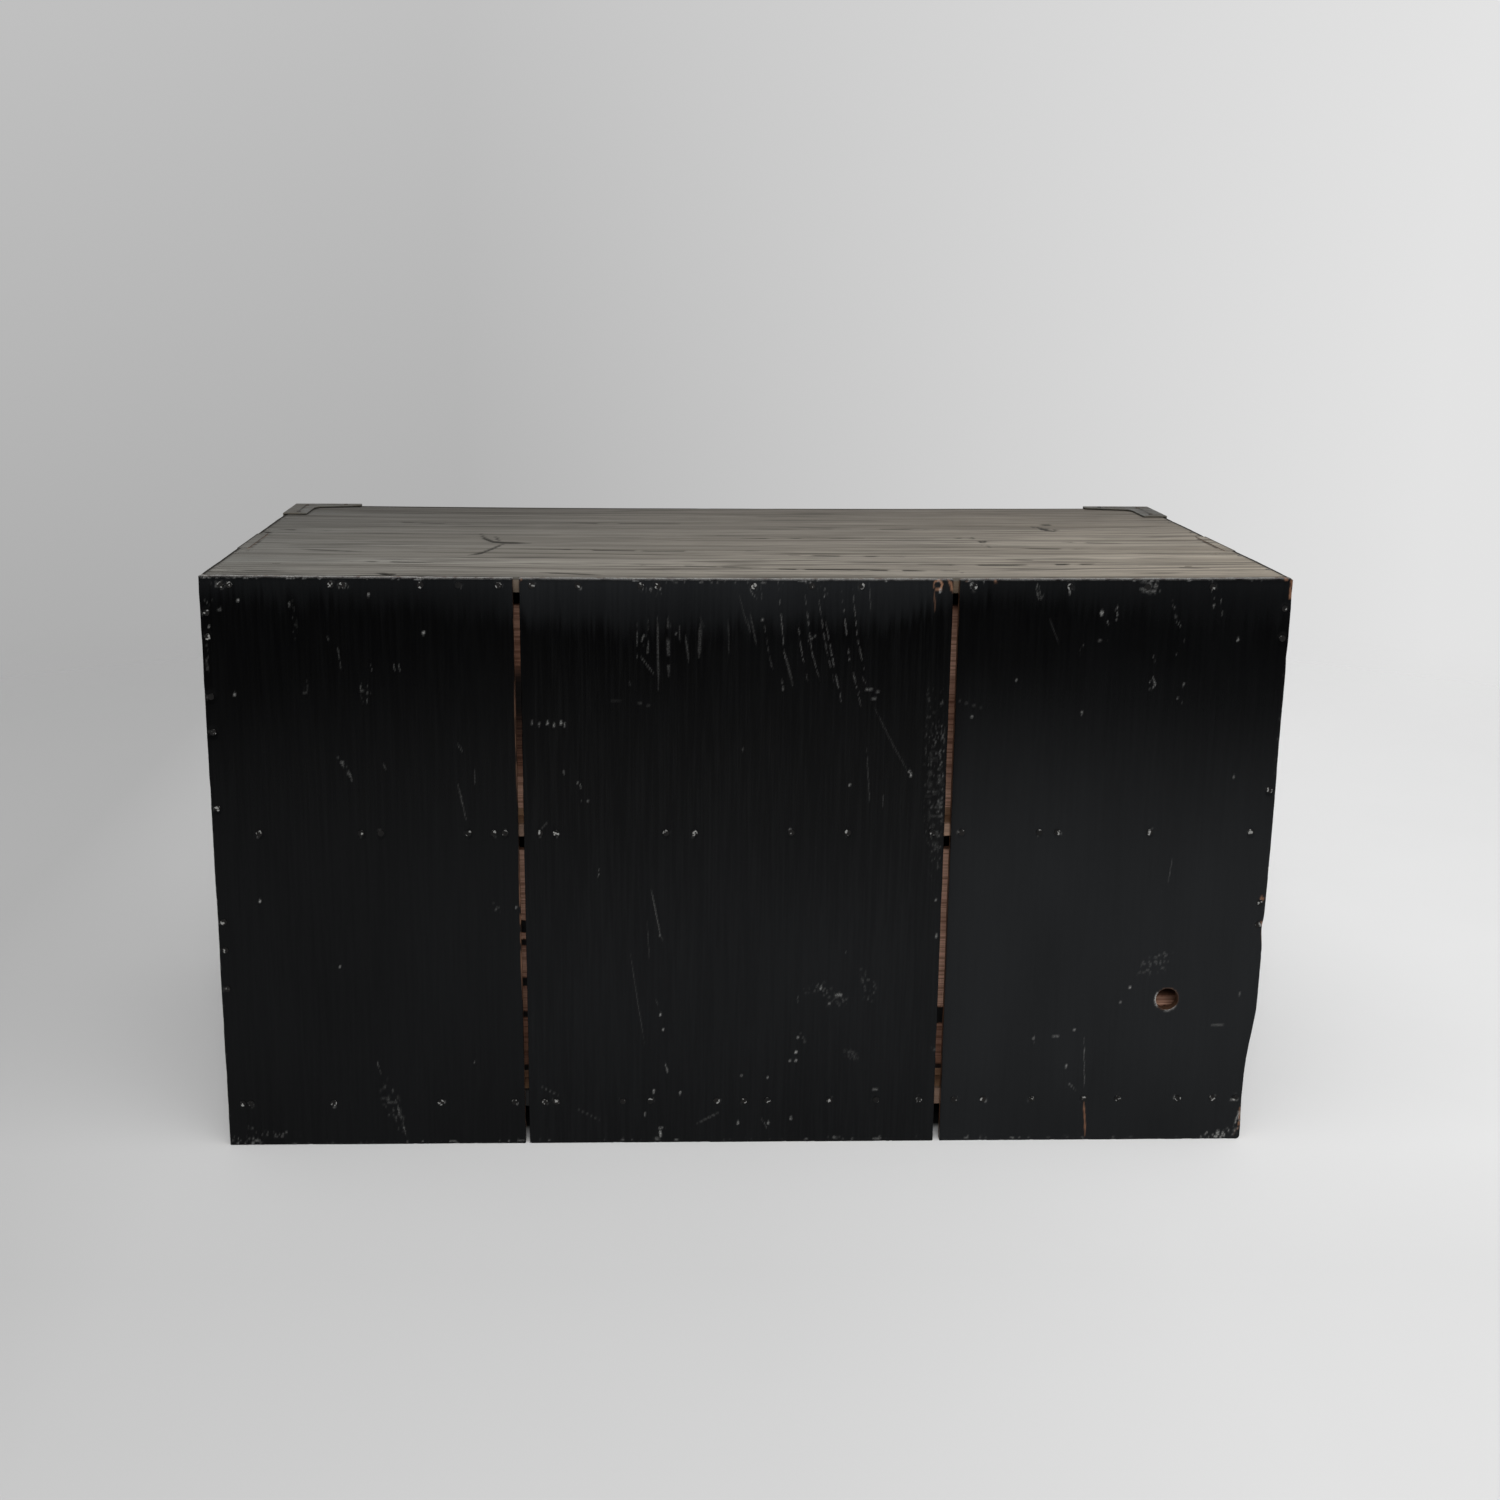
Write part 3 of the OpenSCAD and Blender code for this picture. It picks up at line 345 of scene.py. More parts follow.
# Worn, once varnished top: grey-brown softwood, whose grain runs along X and wanders a little
def top_paint():
    paint = Paint("worn_top")
    wander = paint.fill(paint.add("ShaderNodeTexNoise"), {"Vector": paint.stretch((2.4, 7, 7)), "Scale": 1.0})
    scaled = paint.add("ShaderNodeVectorMath", operation="SCALE")
    paint.fill(scaled, {0: wander.outputs["Color"], "Scale": 0.03})
    bent = paint.add("ShaderNodeVectorMath", operation="ADD")
    paint.place = paint.fill(bent, {0: paint.place, 1: scaled.outputs[0]}).outputs[0]
    fine = paint.grain((14, 620, 620), 4.0, 0.65)
    rings = paint.grain((1.6, 46, 46), 4.0, 0.55)
    dark_lines = paint.grain((1.1, 130, 130), 2.0)
    checks = paint.grain((7.0, 105, 105), 2.0)
    thin = paint.grain((2.6, 170, 170), 2.0)
    cloud = paint.noise(paint.place, 4.5, 3.0)
    base = paint.ramp(rings, (0.3, (0.090, 0.079, 0.062)), (0.52, (0.121, 0.107, 0.086)),
                      (0.75, (0.149, 0.135, 0.110)))
    where = paint.axes()
    # Painted light: the top is lighter and less blue towards -X, where the light comes from
    toward_light = paint.plus(paint.times(where["X"], -1.1), 0.5, clamp=True)
    base = paint.mix(toward_light, paint.tinted(base, (1.03, 1.165, 1.43)),
                     paint.tinted(base, (2.22, 2.26, 2.48)))
    rearward = paint.times(paint.plus(where["Y"], 0.2), 2.3, clamp=True)
    base = paint.mix(rearward, paint.tinted(base, (0.80, 0.78, 0.74)), paint.tinted(base, (1.61, 1.57, 1.45)))
    for noise_value, low_stop, high_stop, colour in (
            (dark_lines, (0.54, 0.0), (0.66, 0.5), (0.040, 0.034, 0.028)),
            (checks, (0.59, 0.0), (0.68, 0.6), (0.030, 0.026, 0.021)),
            (thin, (0.52, 0.0), (0.68, 0.4), (0.036, 0.031, 0.025)),
            (thin, (0.32, 0.22), (0.46, 0.0), (0.25, 0.235, 0.20)),
            (fine, (0.32, 0.5), (0.58, 0.0), (0.045, 0.04, 0.033)),
            (cloud, (0.45, 0.0), (0.8, 0.35), (0.13, 0.125, 0.115))):
        base = paint.over(base, colour, noise_value, low_stop, high_stop)
    for key, colour in (
            ("dark", (0.018, 0.016, 0.013)),
            ("bare", (0.21, 0.12, 0.06)),
            ("pale", (0.3, 0.29, 0.27))):
        base = paint.mix(paint.value(key), base, colour)
    normal = paint.bump(rings, 0.35, 0.003, paint.bump(fine, 0.35, 0.0006))
    # The varnish's own reflection is kept low: the tones above are raised to stand for it, a painted sheen
    # over the wood's own grey
    return paint.finish(base, paint.ramp(cloud, (0.3, 0.60), (0.75, 0.72)), normal, specular=0.05)


# Unlacquered softwood inside, with its grain along one axis, and painted dark behind a place in depth, a
# painted shade in the space behind the drawers
def wood_paint(name, along, dark, light, shaded_from_y=None):
    paint = Paint(name)
    grain = paint.grain(grain_scales(along, 700, 12), 4.0, 0.65)
    rings = paint.grain(grain_scales(along, 42, 1.6), 4.0, 0.55, 0.6)
    cloud = paint.noise(paint.place, 9.0, 3.0)
    base = paint.ramp(rings, (0.3, dark), (0.7, light))
    base = paint.over(base, [0.45 * c for c in dark], grain, (0.3, 0.5), (0.62, 0.0))
    base = paint.over(base, [0.7 * c for c in dark], cloud, (0.45, 0.0), (0.85, 0.4))
    if shaded_from_y:
        # Painted shade: near black behind the drawers' backs
        painted_shade = paint.times(paint.above(paint.axes()["Y"], shaded_from_y), 0.8)
        base = paint.mix(painted_shade, base, (0.018, 0.013, 0.010))
    normal = paint.bump(rings, 0.3, 0.002, paint.bump(grain, 0.4, 0.0006))
    return paint.finish(base, 0.62, normal, specular=0.35)


# Back of a drawer: sawn softwood in fine level ridges. Its tone changes with the height, from 0, near black,
# over brown to 1, fresh wood, and does so differently on the right (+X) and on the left. Low and high are the
# heights in metres between which the tones run; the tones' own heights are in millimetres
def drawer_back_paint(name, low, high, right_tones, left_tones):
    paint = Paint(name)
    where = paint.axes()
    ragged = paint.noise(paint.place, 260.0, 2.0, 0.6)
    height = paint.plus(where["Z"], paint.times(paint.plus(ragged, -0.5), 0.004))
    level = paint.math("DIVIDE", paint.plus(height, -low), high - low)

    def tone_of(tones):
        return paint.ramp(level, *[((z / MM_PER_M - low) / (high - low), tone) for z, tone in tones])

    tone = paint.mix(paint.above(where["X"], 0.0), tone_of(left_tones), tone_of(right_tones))
    # Painted shade behind the cable hole: dark above, in the shadow of the hole's rim, and light below
    below_hole = paint.ramp(paint.times(height, 4.0), (0.464, 0.35), (0.480, 0.85))
    shade = paint.times(paint.below(where["X"], -0.30), below_hole)
    tone = paint.mix(shade, tone, 0.12)
    # Inside the drawer the wood is plain
    on_rear = paint.above(where["Y"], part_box("upper_drawer_back")[1].y - 0.002)
    tone = paint.mix(on_rear, 0.42, tone)
    ridges = paint.grain((14, 14, 620), 2.0)
    grain = paint.grain((9, 9, 900), 3.0, 0.6)
    cloud = paint.noise(paint.place, 30.0, 3.0)
    base = paint.ramp(tone, (0.0, 0.006), (0.1, (0.03, 0.016, 0.011)), (0.4, (0.31, 0.152, 0.096)),
                      (1.0, (0.84, 0.52, 0.385)))
    for noise_value, low_stop, high_stop, tint in (
            (ridges, (0.38, 0.75), (0.54, 0.0), (0.34, 0.26, 0.22)),
            (grain, (0.35, 0.35), (0.6, 0.0), (0.4, 0.3, 0.25)),
            (cloud, (0.5, 0.0), (0.8, 0.4), (0.5, 0.4, 0.35))):
        base = paint.over(base, paint.tinted(base, tint), noise_value, low_stop, high_stop)
    return paint.finish(base, 0.7, paint.bump(ridges, 0.5, 0.0008), specular=0.25)


# The case's pegs: their ends are as grey as the top, and those in the side faces are lacquered over
def case_peg_paint():
    paint = Paint("case_peg_wood")
    grain = paint.noise(paint.place, 500.0, 4.0, 0.6)
    wood = paint.ramp(grain, (0.3, (0.09, 0.085, 0.078)), (0.7, (0.17, 0.16, 0.145)))
    where = paint.axes()
    outside = paint.above(paint.math("ABSOLUTE", where["X"]), HALF_W - 0.002)
    outside = paint.times(outside, paint.below(where["Z"], TOP_Z - 0.004))
    colour = paint.mix(outside, wood, (0.0035, 0.0036, 0.0038))
    rough = paint.mix(outside, 0.65, 0.25)
    return paint.finish(colour, rough, paint.bump(grain, 0.3, 0.0004), specular=0.2)


# Forged iron: near black with rusty bloom and hammer marks, and with bright chips where chips is above 0
def iron_paint(name, base=(0.030, 0.029, 0.027), rust=(0.085, 0.052, 0.030), amount=0.5, metal=0.55,
               chips=0.0, shine=0.5):
    paint = Paint(name)
    blotch = paint.noise(paint.place, 60.0, 6.0, 0.65)
    speck = paint.noise(paint.place, 900.0, 3.0, 0.6)
    hammer = paint.add("ShaderNodeTexVoronoi", feature="SMOOTH_F1")
    paint.fill(hammer, {"Vector": paint.place, "Scale": 150.0})
    colour = paint.over(base, rust, blotch, (0.42, 0.0), (0.7, amount))
    colour = paint.over(colour, [2.2 * c for c in base], speck, (0.6, 0.0), (0.75, 0.55))
    if chips:
        chip = paint.noise(paint.place, 420.0, 1.0)
        colour = paint.over(colour, (0.5, 0.5, 0.48), chip, (0.59, 0.0), (0.64, chips))
    rough = paint.ramp(blotch, (0.3, 0.36), (0.7, 0.68))
    normal = paint.bump(hammer.outputs["Distance"], 0.5, 0.0012, paint.bump(speck, 0.25, 0.0003))
    return paint.finish(colour, rough, normal, metal=metal, specular=shine)


back_lacquer = lacquer_paint("back_lacquer", "Z")
side_lacquer = lacquer_paint("side_lacquer", "Z", specular=0.3)
front_lacquer = lacquer_paint("front_lacquer", "X", specular=0.35)
worn_top = top_paint()
drawer_wood_x = wood_paint("drawer_wood_across", "X", (0.22, 0.115, 0.062), (0.40, 0.235, 0.135), 0.2085)
drawer_wood_y = wood_paint("drawer_wood_along", "Y", (0.22, 0.125, 0.07), (0.40, 0.25, 0.15))
upper_back_wood = drawer_back_paint(
    "upper_drawer_back_wood", 0.270, 0.470,
    ((282, 0.86), (306, 0.82), (320, 0.38), (337, 0.28), (355, 0.18), (366, 0.10), (372, 0.02), (390, 0.02),
     (400, 0.16), (408, 0.38), (425, 0.50), (430, 0.62)),
    ((283, 0.95), (296, 0.95), (304, 0.62), (345, 0.62), (360, 0.50), (377, 0.50), (384, 0.66), (400, 0.74),
     (425, 0.80), (436, 0.64), (449, 0.55), (456, 0.35)))
lower_back_wood = drawer_back_paint(
    "lower_drawer_back_wood", 0.030, 0.260,
    ((56, 0.0), (58, 0.30), (100, 0.44), (101, 0.0), (106, 0.0), (107, 0.52), (128, 0.55), (129, 0.0),
     (136, 0.0), (138, 0.64), (165, 0.70), (166, 0.0), (170, 0.0), (171, 0.70), (176, 0.70), (177, 0.0),
     (187, 0.0), (188, 0.66), (205, 0.86), (246, 0.90)),
    ((55, 0.04), (58, 0.40), (93, 0.52), (94, 0.0), (108, 0.0), (109.5, 0.90), (146, 0.90), (156, 1.0),
     (168, 1.0), (174, 0.84), (187, 0.70), (197, 0.84), (210, 0.96), (247, 0.94)))
case_peg_wood = case_peg_paint()
peg_wood = wood_paint("peg_wood", "Z", (0.25, 0.15, 0.085), (0.42, 0.28, 0.17))
plate_iron = iron_paint("plate_iron")
corner_iron = iron_paint("corner_iron", (0.062, 0.060, 0.050), (0.10, 0.075, 0.048), 0.5, 0.35)
rod_iron = iron_paint("rod_iron", (0.028, 0.027, 0.026), (0.06, 0.04, 0.026), 0.35, 0.7)
nail_iron = iron_paint("nail_iron", (0.045, 0.043, 0.040), (0.12, 0.07, 0.04), 0.7, 0.4)
back_nail_iron = iron_paint("back_nail_iron", (0.004, 0.004, 0.004), (0.014, 0.012, 0.011), 0.5, 0.0, 0.4,
                            0.12)


# Height of the top surface over a place along the width: the top board sags in its middle
def top_z(x):
    return TOP_Z - SAG * np.clip(1 - (x / HALF_W) ** 2, 0, 1)


# What the crooked lower corner of the left back board leaves open, from the left face, at some heights
WANE = ((0, 0.0057), (0.012, 0.0060), (0.038, 0.0070), (0.060, 0.0064), (0.074, 0.0058), (0.085, 0.0046),
        (0.100, 0.0026), (0.118, 0.0006), (0.190, 0))
WANE_LENGTH = 0.080


def wane(y, z):
    return profile(z, WANE) * step_up(y, BACK_Y - WANE_LENGTH, BACK_IN_Y)


# Distance of points in a plane from the nearest place on a line through some corners, and the place along it
def from_line(a, b, corners):
    nearest = np.full(len(a), 1e9)
    along = np.zeros(len(a))
    lengths = [math.dist(p, q) for p, q in zip(corners, corners[1:])]
    done = 0.0
    for (p, q), length in zip(zip(corners, corners[1:]), lengths):
        part = ((a - p[0]) * (q[0] - p[0]) + (b - p[1]) * (q[1] - p[1])) / max(length, 1e-9) ** 2
        part = np.clip(part, 0, 1)
        gap = np.hypot(a - p[0] - part * (q[0] - p[0]), b - p[1] - part * (q[1] - p[1]))
        closer = gap < nearest
        nearest = np.where(closer, gap, nearest)
        along = np.where(closer, done + part * length, along)
        done += length
    return nearest, along / max(done, 1e-9)


# One mark on a surface: a stroke that raises a value on the mesh, whole, or broken into flecks of a size,
# of which a share is left
def stroke(values, key, a, b, corners, width, strength, fleck=0.0, cover=0.5, seed=0):
    spans = [(min(c[n] for c in corners) - width, max(c[n] for c in corners) + width) for n in (0, 1)]
    near = (a > spans[0][0]) & (a < spans[0][1]) & (b > spans[1][0]) & (b < spans[1][1])
    if not near.any():
        return
    gap, along = from_line(a[near], b[near], corners)
    taper = 0.5 + 0.5 * step_up(np.minimum(along, 1 - along), 0, 0.25)
    share = (1 - step_up(gap, 0.45 * width * taper, width * taper)) * taper
    if fleck:
        spots = noise(np.stack([a[near], b[near], np.zeros(near.sum())], 1), fleck, 400 + seed)
        share = share * step_up(spots, 0.6 - 1.2 * cover, 1.0 - 1.2 * cover)
    raise_to(values, key, strength * share, near)


# Marks of the back in millimetres: first a mark's corners (how far to the right of the middle as the back
# is seen from behind, height), then its width and its strength, and for a broken one its flecks' size and
# share
BACK_SCRATCHES = [
    ([(-89, 447), (-89, 409)], 0.6, 0.16, 2.4, 0.7),
    ([(-80, 453), (-81, 412)], 0.7, 0.16, 2.4, 0.7),
    ([(-73, 452), (-72, 393)], 1.0, 0.11),
    ([(-65, 450), (-64, 404)], 1.6, 0.12, 5.0, 0.85),
    ([(-56, 447), (-55, 431)], 0.6, 0.10),
    ([(-51, 438), (-48, 416)], 1.0, 0.10),
    ([(-39, 447), (-40, 419)], 1.7, 0.09),
    ([(-87, 421), (-75, 405)], 0.6, 0.13),
    ([(-95, 407), (-95, 395)], 0.6, 0.10, 2.0, 0.5),
    ([(-84, 445), (-84, 430)], 2.6, 0.18, 1.4, 0.3),
    ([(-64, 452), (-61, 440)], 1.9, 0.22, 1.4, 0.36),
    ([(-74, 453), (-73, 446)], 1.3, 0.20, 1.4, 0.4),
    ([(8, 480), (11, 450), (18, 409)], 0.6, 0.09, 3.0, 0.75),
    ([(22, 480), (28, 423), (35, 397)], 0.6, 0.19, 4.0, 0.85),
    ([(28, 424), (35, 398)], 1.0, 0.10),
    ([(38, 450), (41, 428), (47, 400)], 0.6, 0.19, 2.4, 0.7),
    ([(43, 473), (50, 423), (57, 400)], 0.6, 0.18, 3.0, 0.75),
    ([(54, 469), (60, 433), (68, 400)], 0.6, 0.16, 3.0, 0.75),
    ([(60, 449), (69, 407), (76, 377)], 0.7, 0.19, 3.0, 0.8),
    ([(72, 476), (80, 418), (88, 390), (91, 376)], 0.7, 0.21, 2.6, 0.75),
    ([(81, 476), (86, 435), (92, 409)], 0.6, 0.19, 2.6, 0.7),
    ([(88, 391), (95, 394), (106, 391)], 1.0, 0.24, 2.2, 0.75),
    ([(0, 456), (6, 428)], 0.8, 0.08),
    ([(26, 402), (28, 391)], 0.8, 0.19, 1.8, 0.6),
    ([(94, 480), (96, 456)], 0.5, 0.10),
    ([(-2, 450), (1, 438)], 0.6, 0.08),
    ([(47, 433), (54, 438)], 0.6, 0.18),
    ([(90, 404), (95, 397)], 0.5, 0.10),
    ([(-17, 450), (-16, 421)], 0.6, 0.06),
    ([(-9, 471), (-2, 445)], 0.5, 0.07),
    ([(16, 421), (19, 409)], 0.6, 0.08),
    ([(-1, 477), (1, 472), (5, 467)], 0.5, 0.24),
    ([(9, 450), (13, 449)], 0.6, 0.32),
    ([(-88, 476), (-70, 470)], 3.0, 0.32, 1.3, 0.2),
    ([(-60, 442), (-58, 438)], 0.7, 0.36, 1.6, 0.6),
    ([(41, 385), (73, 385)], 0.5, 0.06),
    ([(-149, 327), (-147, 321)], 0.8, 0.30, 1.5, 0.6),
    ([(-138, 317), (-133, 311)], 0.9, 0.32, 1.5, 0.6),
    ([(-136, 302), (-126, 300)], 0.9, 0.30, 1.5, 0.7),
    ([(-168, 276), (-162, 283), (-156, 284)], 0.5, 0.12),
    ([(-110, 384), (-90, 383), (-75, 379)], 0.6, 0.07),
    ([(101, 379), (117, 348), (131, 324)], 0.5, 0.08),
    ([(96, 345), (98, 320), (100, 296)], 0.5, 0.09),
    ([(110, 310), (111, 293)], 0.4, 0.09),
    ([(96, 387), (103, 386)], 0.8, 0.25, 1.5, 0.7),
    ([(229, 478), (231, 467), (234, 472)], 0.5, 0.14),
    ([(-308, 399), (-309, 391), (-307, 382)], 0.6, 0.22, 2.0, 0.7),
    ([(-303, 396), (-304, 382)], 0.6, 0.20, 2.0, 0.7),
    ([(-312, 393), (-301, 390)], 1.2, 0.14, 1.6, 0.4),
    ([(-282, 414), (-281, 408)], 0.5, 0.20),
    ([(-278, 414), (-277, 408)], 0.5, 0.20),
    ([(-334, 439), (-331, 430)], 1.0, 0.12, 1.6, 0.5),
    ([(-326, 432), (-323, 406)], 0.6, 0.10, 3.0, 0.6),
    ([(-300, 413), (-299, 408)], 0.8, 0.20, 1.4, 0.6),
    ([(-233, 349), (-229, 342)], 0.5, 0.14),
    ([(-220, 328), (-220, 313)], 0.4, 0.10),
    ([(-234, 318), (-230, 296)], 0.5, 0.11),
    ([(238, 452), (248, 430)], 0.5, 0.06),
    ([(-78, 227), (-75, 212), (-70, 186), (-68, 181)], 0.6, 0.18),
    ([(-71, 189), (-68, 181)], 1.3, 0.40, 1.5, 0.5),
    ([(-95, 172), (-89, 129), (-83, 90)], 0.5, 0.08),
    ([(-81, 197), (-79, 164)], 0.5, 0.07),
    ([(-74, 131), (-69, 115), (-68, 102)], 0.5, 0.10, 3.0, 0.5),
    ([(-66, 73), (-63, 63)], 0.7, 0.40, 1.6, 0.8),
    ([(-120, 246), (-121, 236)], 0.7, 0.32, 2.0, 0.6),
    ([(104, 48), (116, 48)], 0.6, 0.40, 3.0, 0.8),
    ([(76, 133), (82, 133)], 0.6, 0.48),
    ([(73, 158), (76, 158)], 0.6, 0.40),
    ([(44, 132), (45, 127)], 0.7, 0.40, 1.4, 0.6),
    ([(82, 174), (84, 169)], 0.6, 0.28, 1.4, 0.6),
    ([(51, 137), (65, 139), (82, 128), (70, 125)], 7.0, 0.11, 1.5, 0.34),
    ([(98, 155), (106, 137), (102, 124)], 7.0, 0.10, 1.5, 0.2),
    ([(47, 100), (52, 89)], 1.8, 0.11, 1.6, 0.5),
    ([(85, 82), (96, 76)], 5.0, 0.08, 1.7, 0.5),
    ([(156, 85), (163, 84)], 1.0, 0.28, 1.6, 0.5),
    ([(16, 22), (22, 11)], 0.6, 0.16, 1.8, 0.7),
    ([(-39, 17), (-19, 28)], 1.0, 0.10),
    ([(-172, 53), (-154, 43)], 0.6, 0.10),
    ([(-141, 32), (-119, 20)], 0.6, 0.08),
    ([(-73, 13), (-64, 13)], 0.7, 0.40, 2.0, 0.8),
    ([(-70, 12), (-69, 5)], 1.3, 0.68),
    ([(330, 154), (339, 158), (355, 161)], 9.0, 0.13, 1.6, 0.32),
    ([(329, 150), (346, 166), (357, 170)], 3.0, 0.16, 2.2, 0.45),
    ([(351, 252), (349, 231)], 0.5, 0.13),
    ([(392, 104), (407, 105)], 0.6, 0.16),
    ([(260, 95), (266, 95)], 0.6, 0.24),
    ([(243, 97), (246, 88)], 1.6, 0.18, 1.4, 0.4),
    ([(274, 54), (285, 44)], 0.7, 0.21, 1.8, 0.6),
    ([(415, 36), (423, 36)], 0.6, 0.40),
    ([(287, 93), (290, 46)], 0.5, 0.18),
    ([(288, 83), (288, 80)], 0.6, 0.40),
    ([(228, 485), (227, 474), (230, 466)], 0.6, 0.24, 2.0, 0.8),
    ([(253, 479), (254, 470)], 0.8, 0.44, 2.0, 0.8),
    ([(310, 481), (322, 479), (318, 475)], 4.0, 0.28, 2.0, 0.6),
    ([(292, 462), (292, 449)], 1.9, 0.29, 1.6, 0.45),
    ([(286, 447), (285, 450)], 0.8, 0.32),
    ([(267, 434), (265, 422)], 1.3, 0.22, 1.5, 0.5),
    ([(277, 433), (288, 433)], 1.0, 0.24, 1.4, 0.4),
    ([(324, 422), (326, 415)], 0.8, 0.40, 1.6, 0.7),
    ([(324, 405), (327, 398), (324, 393), (321, 397), (324, 402)], 0.7, 0.40, 2.4, 0.8),
    ([(336, 467), (341, 450), (350, 439)], 1.3, 0.22, 1.5, 0.4),
    ([(348, 434), (342, 422)], 1.3, 0.19, 1.5, 0.4),
    ([(350, 399), (350, 396)], 0.8, 0.32),
    ([(344, 388), (350, 383)], 1.1, 0.29, 1.4, 0.5),
    ([(367, 483), (368, 469), (375, 467), (377, 455)], 0.6, 0.32, 3.0, 0.8),
    ([(363, 431), (373, 429)], 1.0, 0.18, 1.4, 0.5),
    ([(235, 370), (300, 371)], 0.5, 0.11, 5.0, 0.6),
    ([(167, 385), (189, 378)], 0.5, 0.08),
    ([(-351, 401), (-352, 391), (-357, 390)], 1.9, 0.07, 1.6, 0.5),
    ([(-360, 465), (-358, 433)], 3.0, 0.05, 1.6, 0.3),
    ([(-329, 338), (-324, 331), (-321, 325), (-318, 318)], 1.6, 0.22, 1.6, 0.6),
    ([(-293, 332), (-291, 328)], 0.6, 0.24),
    ([(-232, 311), (-230, 298), (-227, 283)], 0.5, 0.13),
    ([(-208, 215), (-202, 207)], 2.6, 0.16, 1.6, 0.5),
    ([(-426, 477), (-410, 477)], 4.0, 0.20, 1.5, 0.3),
    ([(-427, 465), (-415, 455)], 4.0, 0.22, 1.5, 0.3),
    ([(-428, 433), (-429, 393)], 1.4, 0.13, 1.6, 0.2),
    ([(-331, 479), (-316, 476)], 3.0, 0.32, 1.6, 0.35),
    ([(-301, 59), (-289, 13)], 9.0, 0.11, 2.0, 0.25),
    ([(-292, 41), (-284, 8)], 0.8, 0.26, 2.4, 0.6),
    ([(-307, 79), (-303, 62)], 0.7, 0.21, 1.8, 0.5),
    ([(-224, 76), (-226, 73)], 0.7, 0.24),
    ([(-416, 16), (-405, 11), (-373, 9)], 3.4, 0.18, 1.6, 0.3),
    ([(-40, 454), (-36, 443)], 0.5, 0.06),
    ([(146, 392), (150, 331), (154, 237)], 9.0, 0.12, 1.2, 0.14),
    ([(155, 395), (157, 331), (158, 240)], 3.0, 0.22, 1.2, 0.3),
    ([(150, 340), (154, 300), (155, 262)], 8.0, 0.06, 4.0, 0.5),
    ([(46, 477), (62, 472), (56, 462)], 2.6, 0.32, 1.4, 0.2),
]
# Small bright dots of the back: place, radius and strength, in the same way
BACK_DOTS = [
    (-396.6, 216.7, 0.9, 0.75), (-333.9, 159.3, 0.8, 0.5), (-257.6, 439.0, 1.0, 0.8),
    (-408.3, 389.2, 0.9, 0.6), (180.1, 371.0, 0.9, 0.45), (269.0, 374.4, 0.9, 0.45),
    (396.6, 321.2, 0.8, 0.4), (214.5, 400.9, 0.8, 0.3), (391.1, 434.7, 0.9, 0.5),
    (278.4, 100.9, 0.9, 0.5), (244.2, 93.1, 0.9, 0.35), (273.3, 67.7, 0.9, 0.55),
    (416.2, 132.1, 0.8, 0.45), (323.0, 138.6, 0.9, 0.7), (315.8, 125.6, 0.8, 0.4),
    (-75.1, 46.8, 0.9, 0.6), (-52.9, 45.2, 0.9, 0.6), (-82.6, 25.9, 0.8, 0.45),
    (20.6, 59.1, 0.8, 0.4), (-1.4, 60.9, 0.8, 0.3), (-3.8, 17.9, 0.9, 0.6),
    (21.9, 17.8, 0.9, 0.5), (41.0, 21.7, 1.0, 0.4), (-69.8, 115.8, 0.8, 0.7),
    (-67.6, 102.4, 0.8, 0.6), (63.8, 139.2, 0.9, 0.55), (71.2, 125.3, 0.8, 0.45),
    (45.5, 95.0, 0.8, 0.5), (44.1, 81.8, 1.0, 0.85), (44.2, 74.4, 0.9, 0.6),
    (39.2, 73.9, 0.8, 0.5), (158.5, 184.7, 0.9, 0.45), (-4.0, 343.7, 0.7, 0.25),
    (83.2, 314.4, 0.8, 0.5), (-415.4, 477.6, 0.9, 0.7), (-409.5, 477.6, 0.9, 0.6),
    (-401.7, 464.6, 0.9, 0.6), (-426.3, 455.4, 0.9, 0.7), (-329.1, 477.8, 1.1, 0.7),
    (-318.2, 477.1, 1.1, 0.7), (-299.8, 469.2, 0.9, 0.5), (-362.1, 461.5, 0.8, 0.4),
    (175.5, 478.2, 1.3, 0.8), (150.6, 473.8, 1.0, 0.8), (-425.4, 443.5, 0.8, 0.5),
    (280.3, 456.0, 1.3, 0.6), (369.7, 461.8, 0.8, 0.4), (-188.4, 211.0, 0.7, 0.5),
    (157.0, 216.1, 0.8, 0.4), (132.5, 322.7, 1.0, 0.6), (131.2, 326.1, 0.8, 0.5),
    (-173.1, 366.2, 0.8, 0.35), (-167.4, 364.6, 0.8, 0.4), (-160.9, 366.0, 0.9, 0.5),
    (-155.6, 364.2, 0.9, 0.45), (-150.0, 366.0, 1.0, 0.55), (-147.2, 364.4, 0.8, 0.45),
]
# Places where the wood shows brown, in the same way
BACK_BARE = [
    ([(290, 36), (292, 18), (293, 4)], 0.8, 0.9),
    ([(428, 218), (429, 214)], 2.2, 0.8),
    ([(429, 196), (430, 193)], 1.9, 0.8),
    ([(430, 190), (432, 174)], 0.8, 0.5),
    ([(145, 477), (146, 481), (150, 482), (152, 479), (151, 475), (148, 474), (145, 477)], 1.0, 0.9),
    ([(157, 482), (160, 479), (161, 473)], 2.6, 0.8, 3.0, 0.7),
    ([(146, 473), (147, 457)], 0.6, 0.35),
    ([(425, 34), (425, 14), (421, 3)], 1.6, 0.7, 2.4, 0.6),
    ([(431, 484), (431, 474), (431, 466)], 2.2, 1.0, 3.4, 0.8),
    ([(424, 484), (431, 483)], 2.0, 0.9, 3.0, 0.6),
    ([(-182, 485), (-180, 479)], 1.6, 0.6, 2.0, 0.5),
    ([(-186.6, 400), (-185.8, 300)], 0.9, 0.3, 8.0, 0.85),
    ([(-185.2, 262), (-184.2, 130)], 0.9, 0.6, 8.0, 0.8),
    ([(192, 484), (195, 480)], 1.6, 0.4, 2.0, 0.5),
]
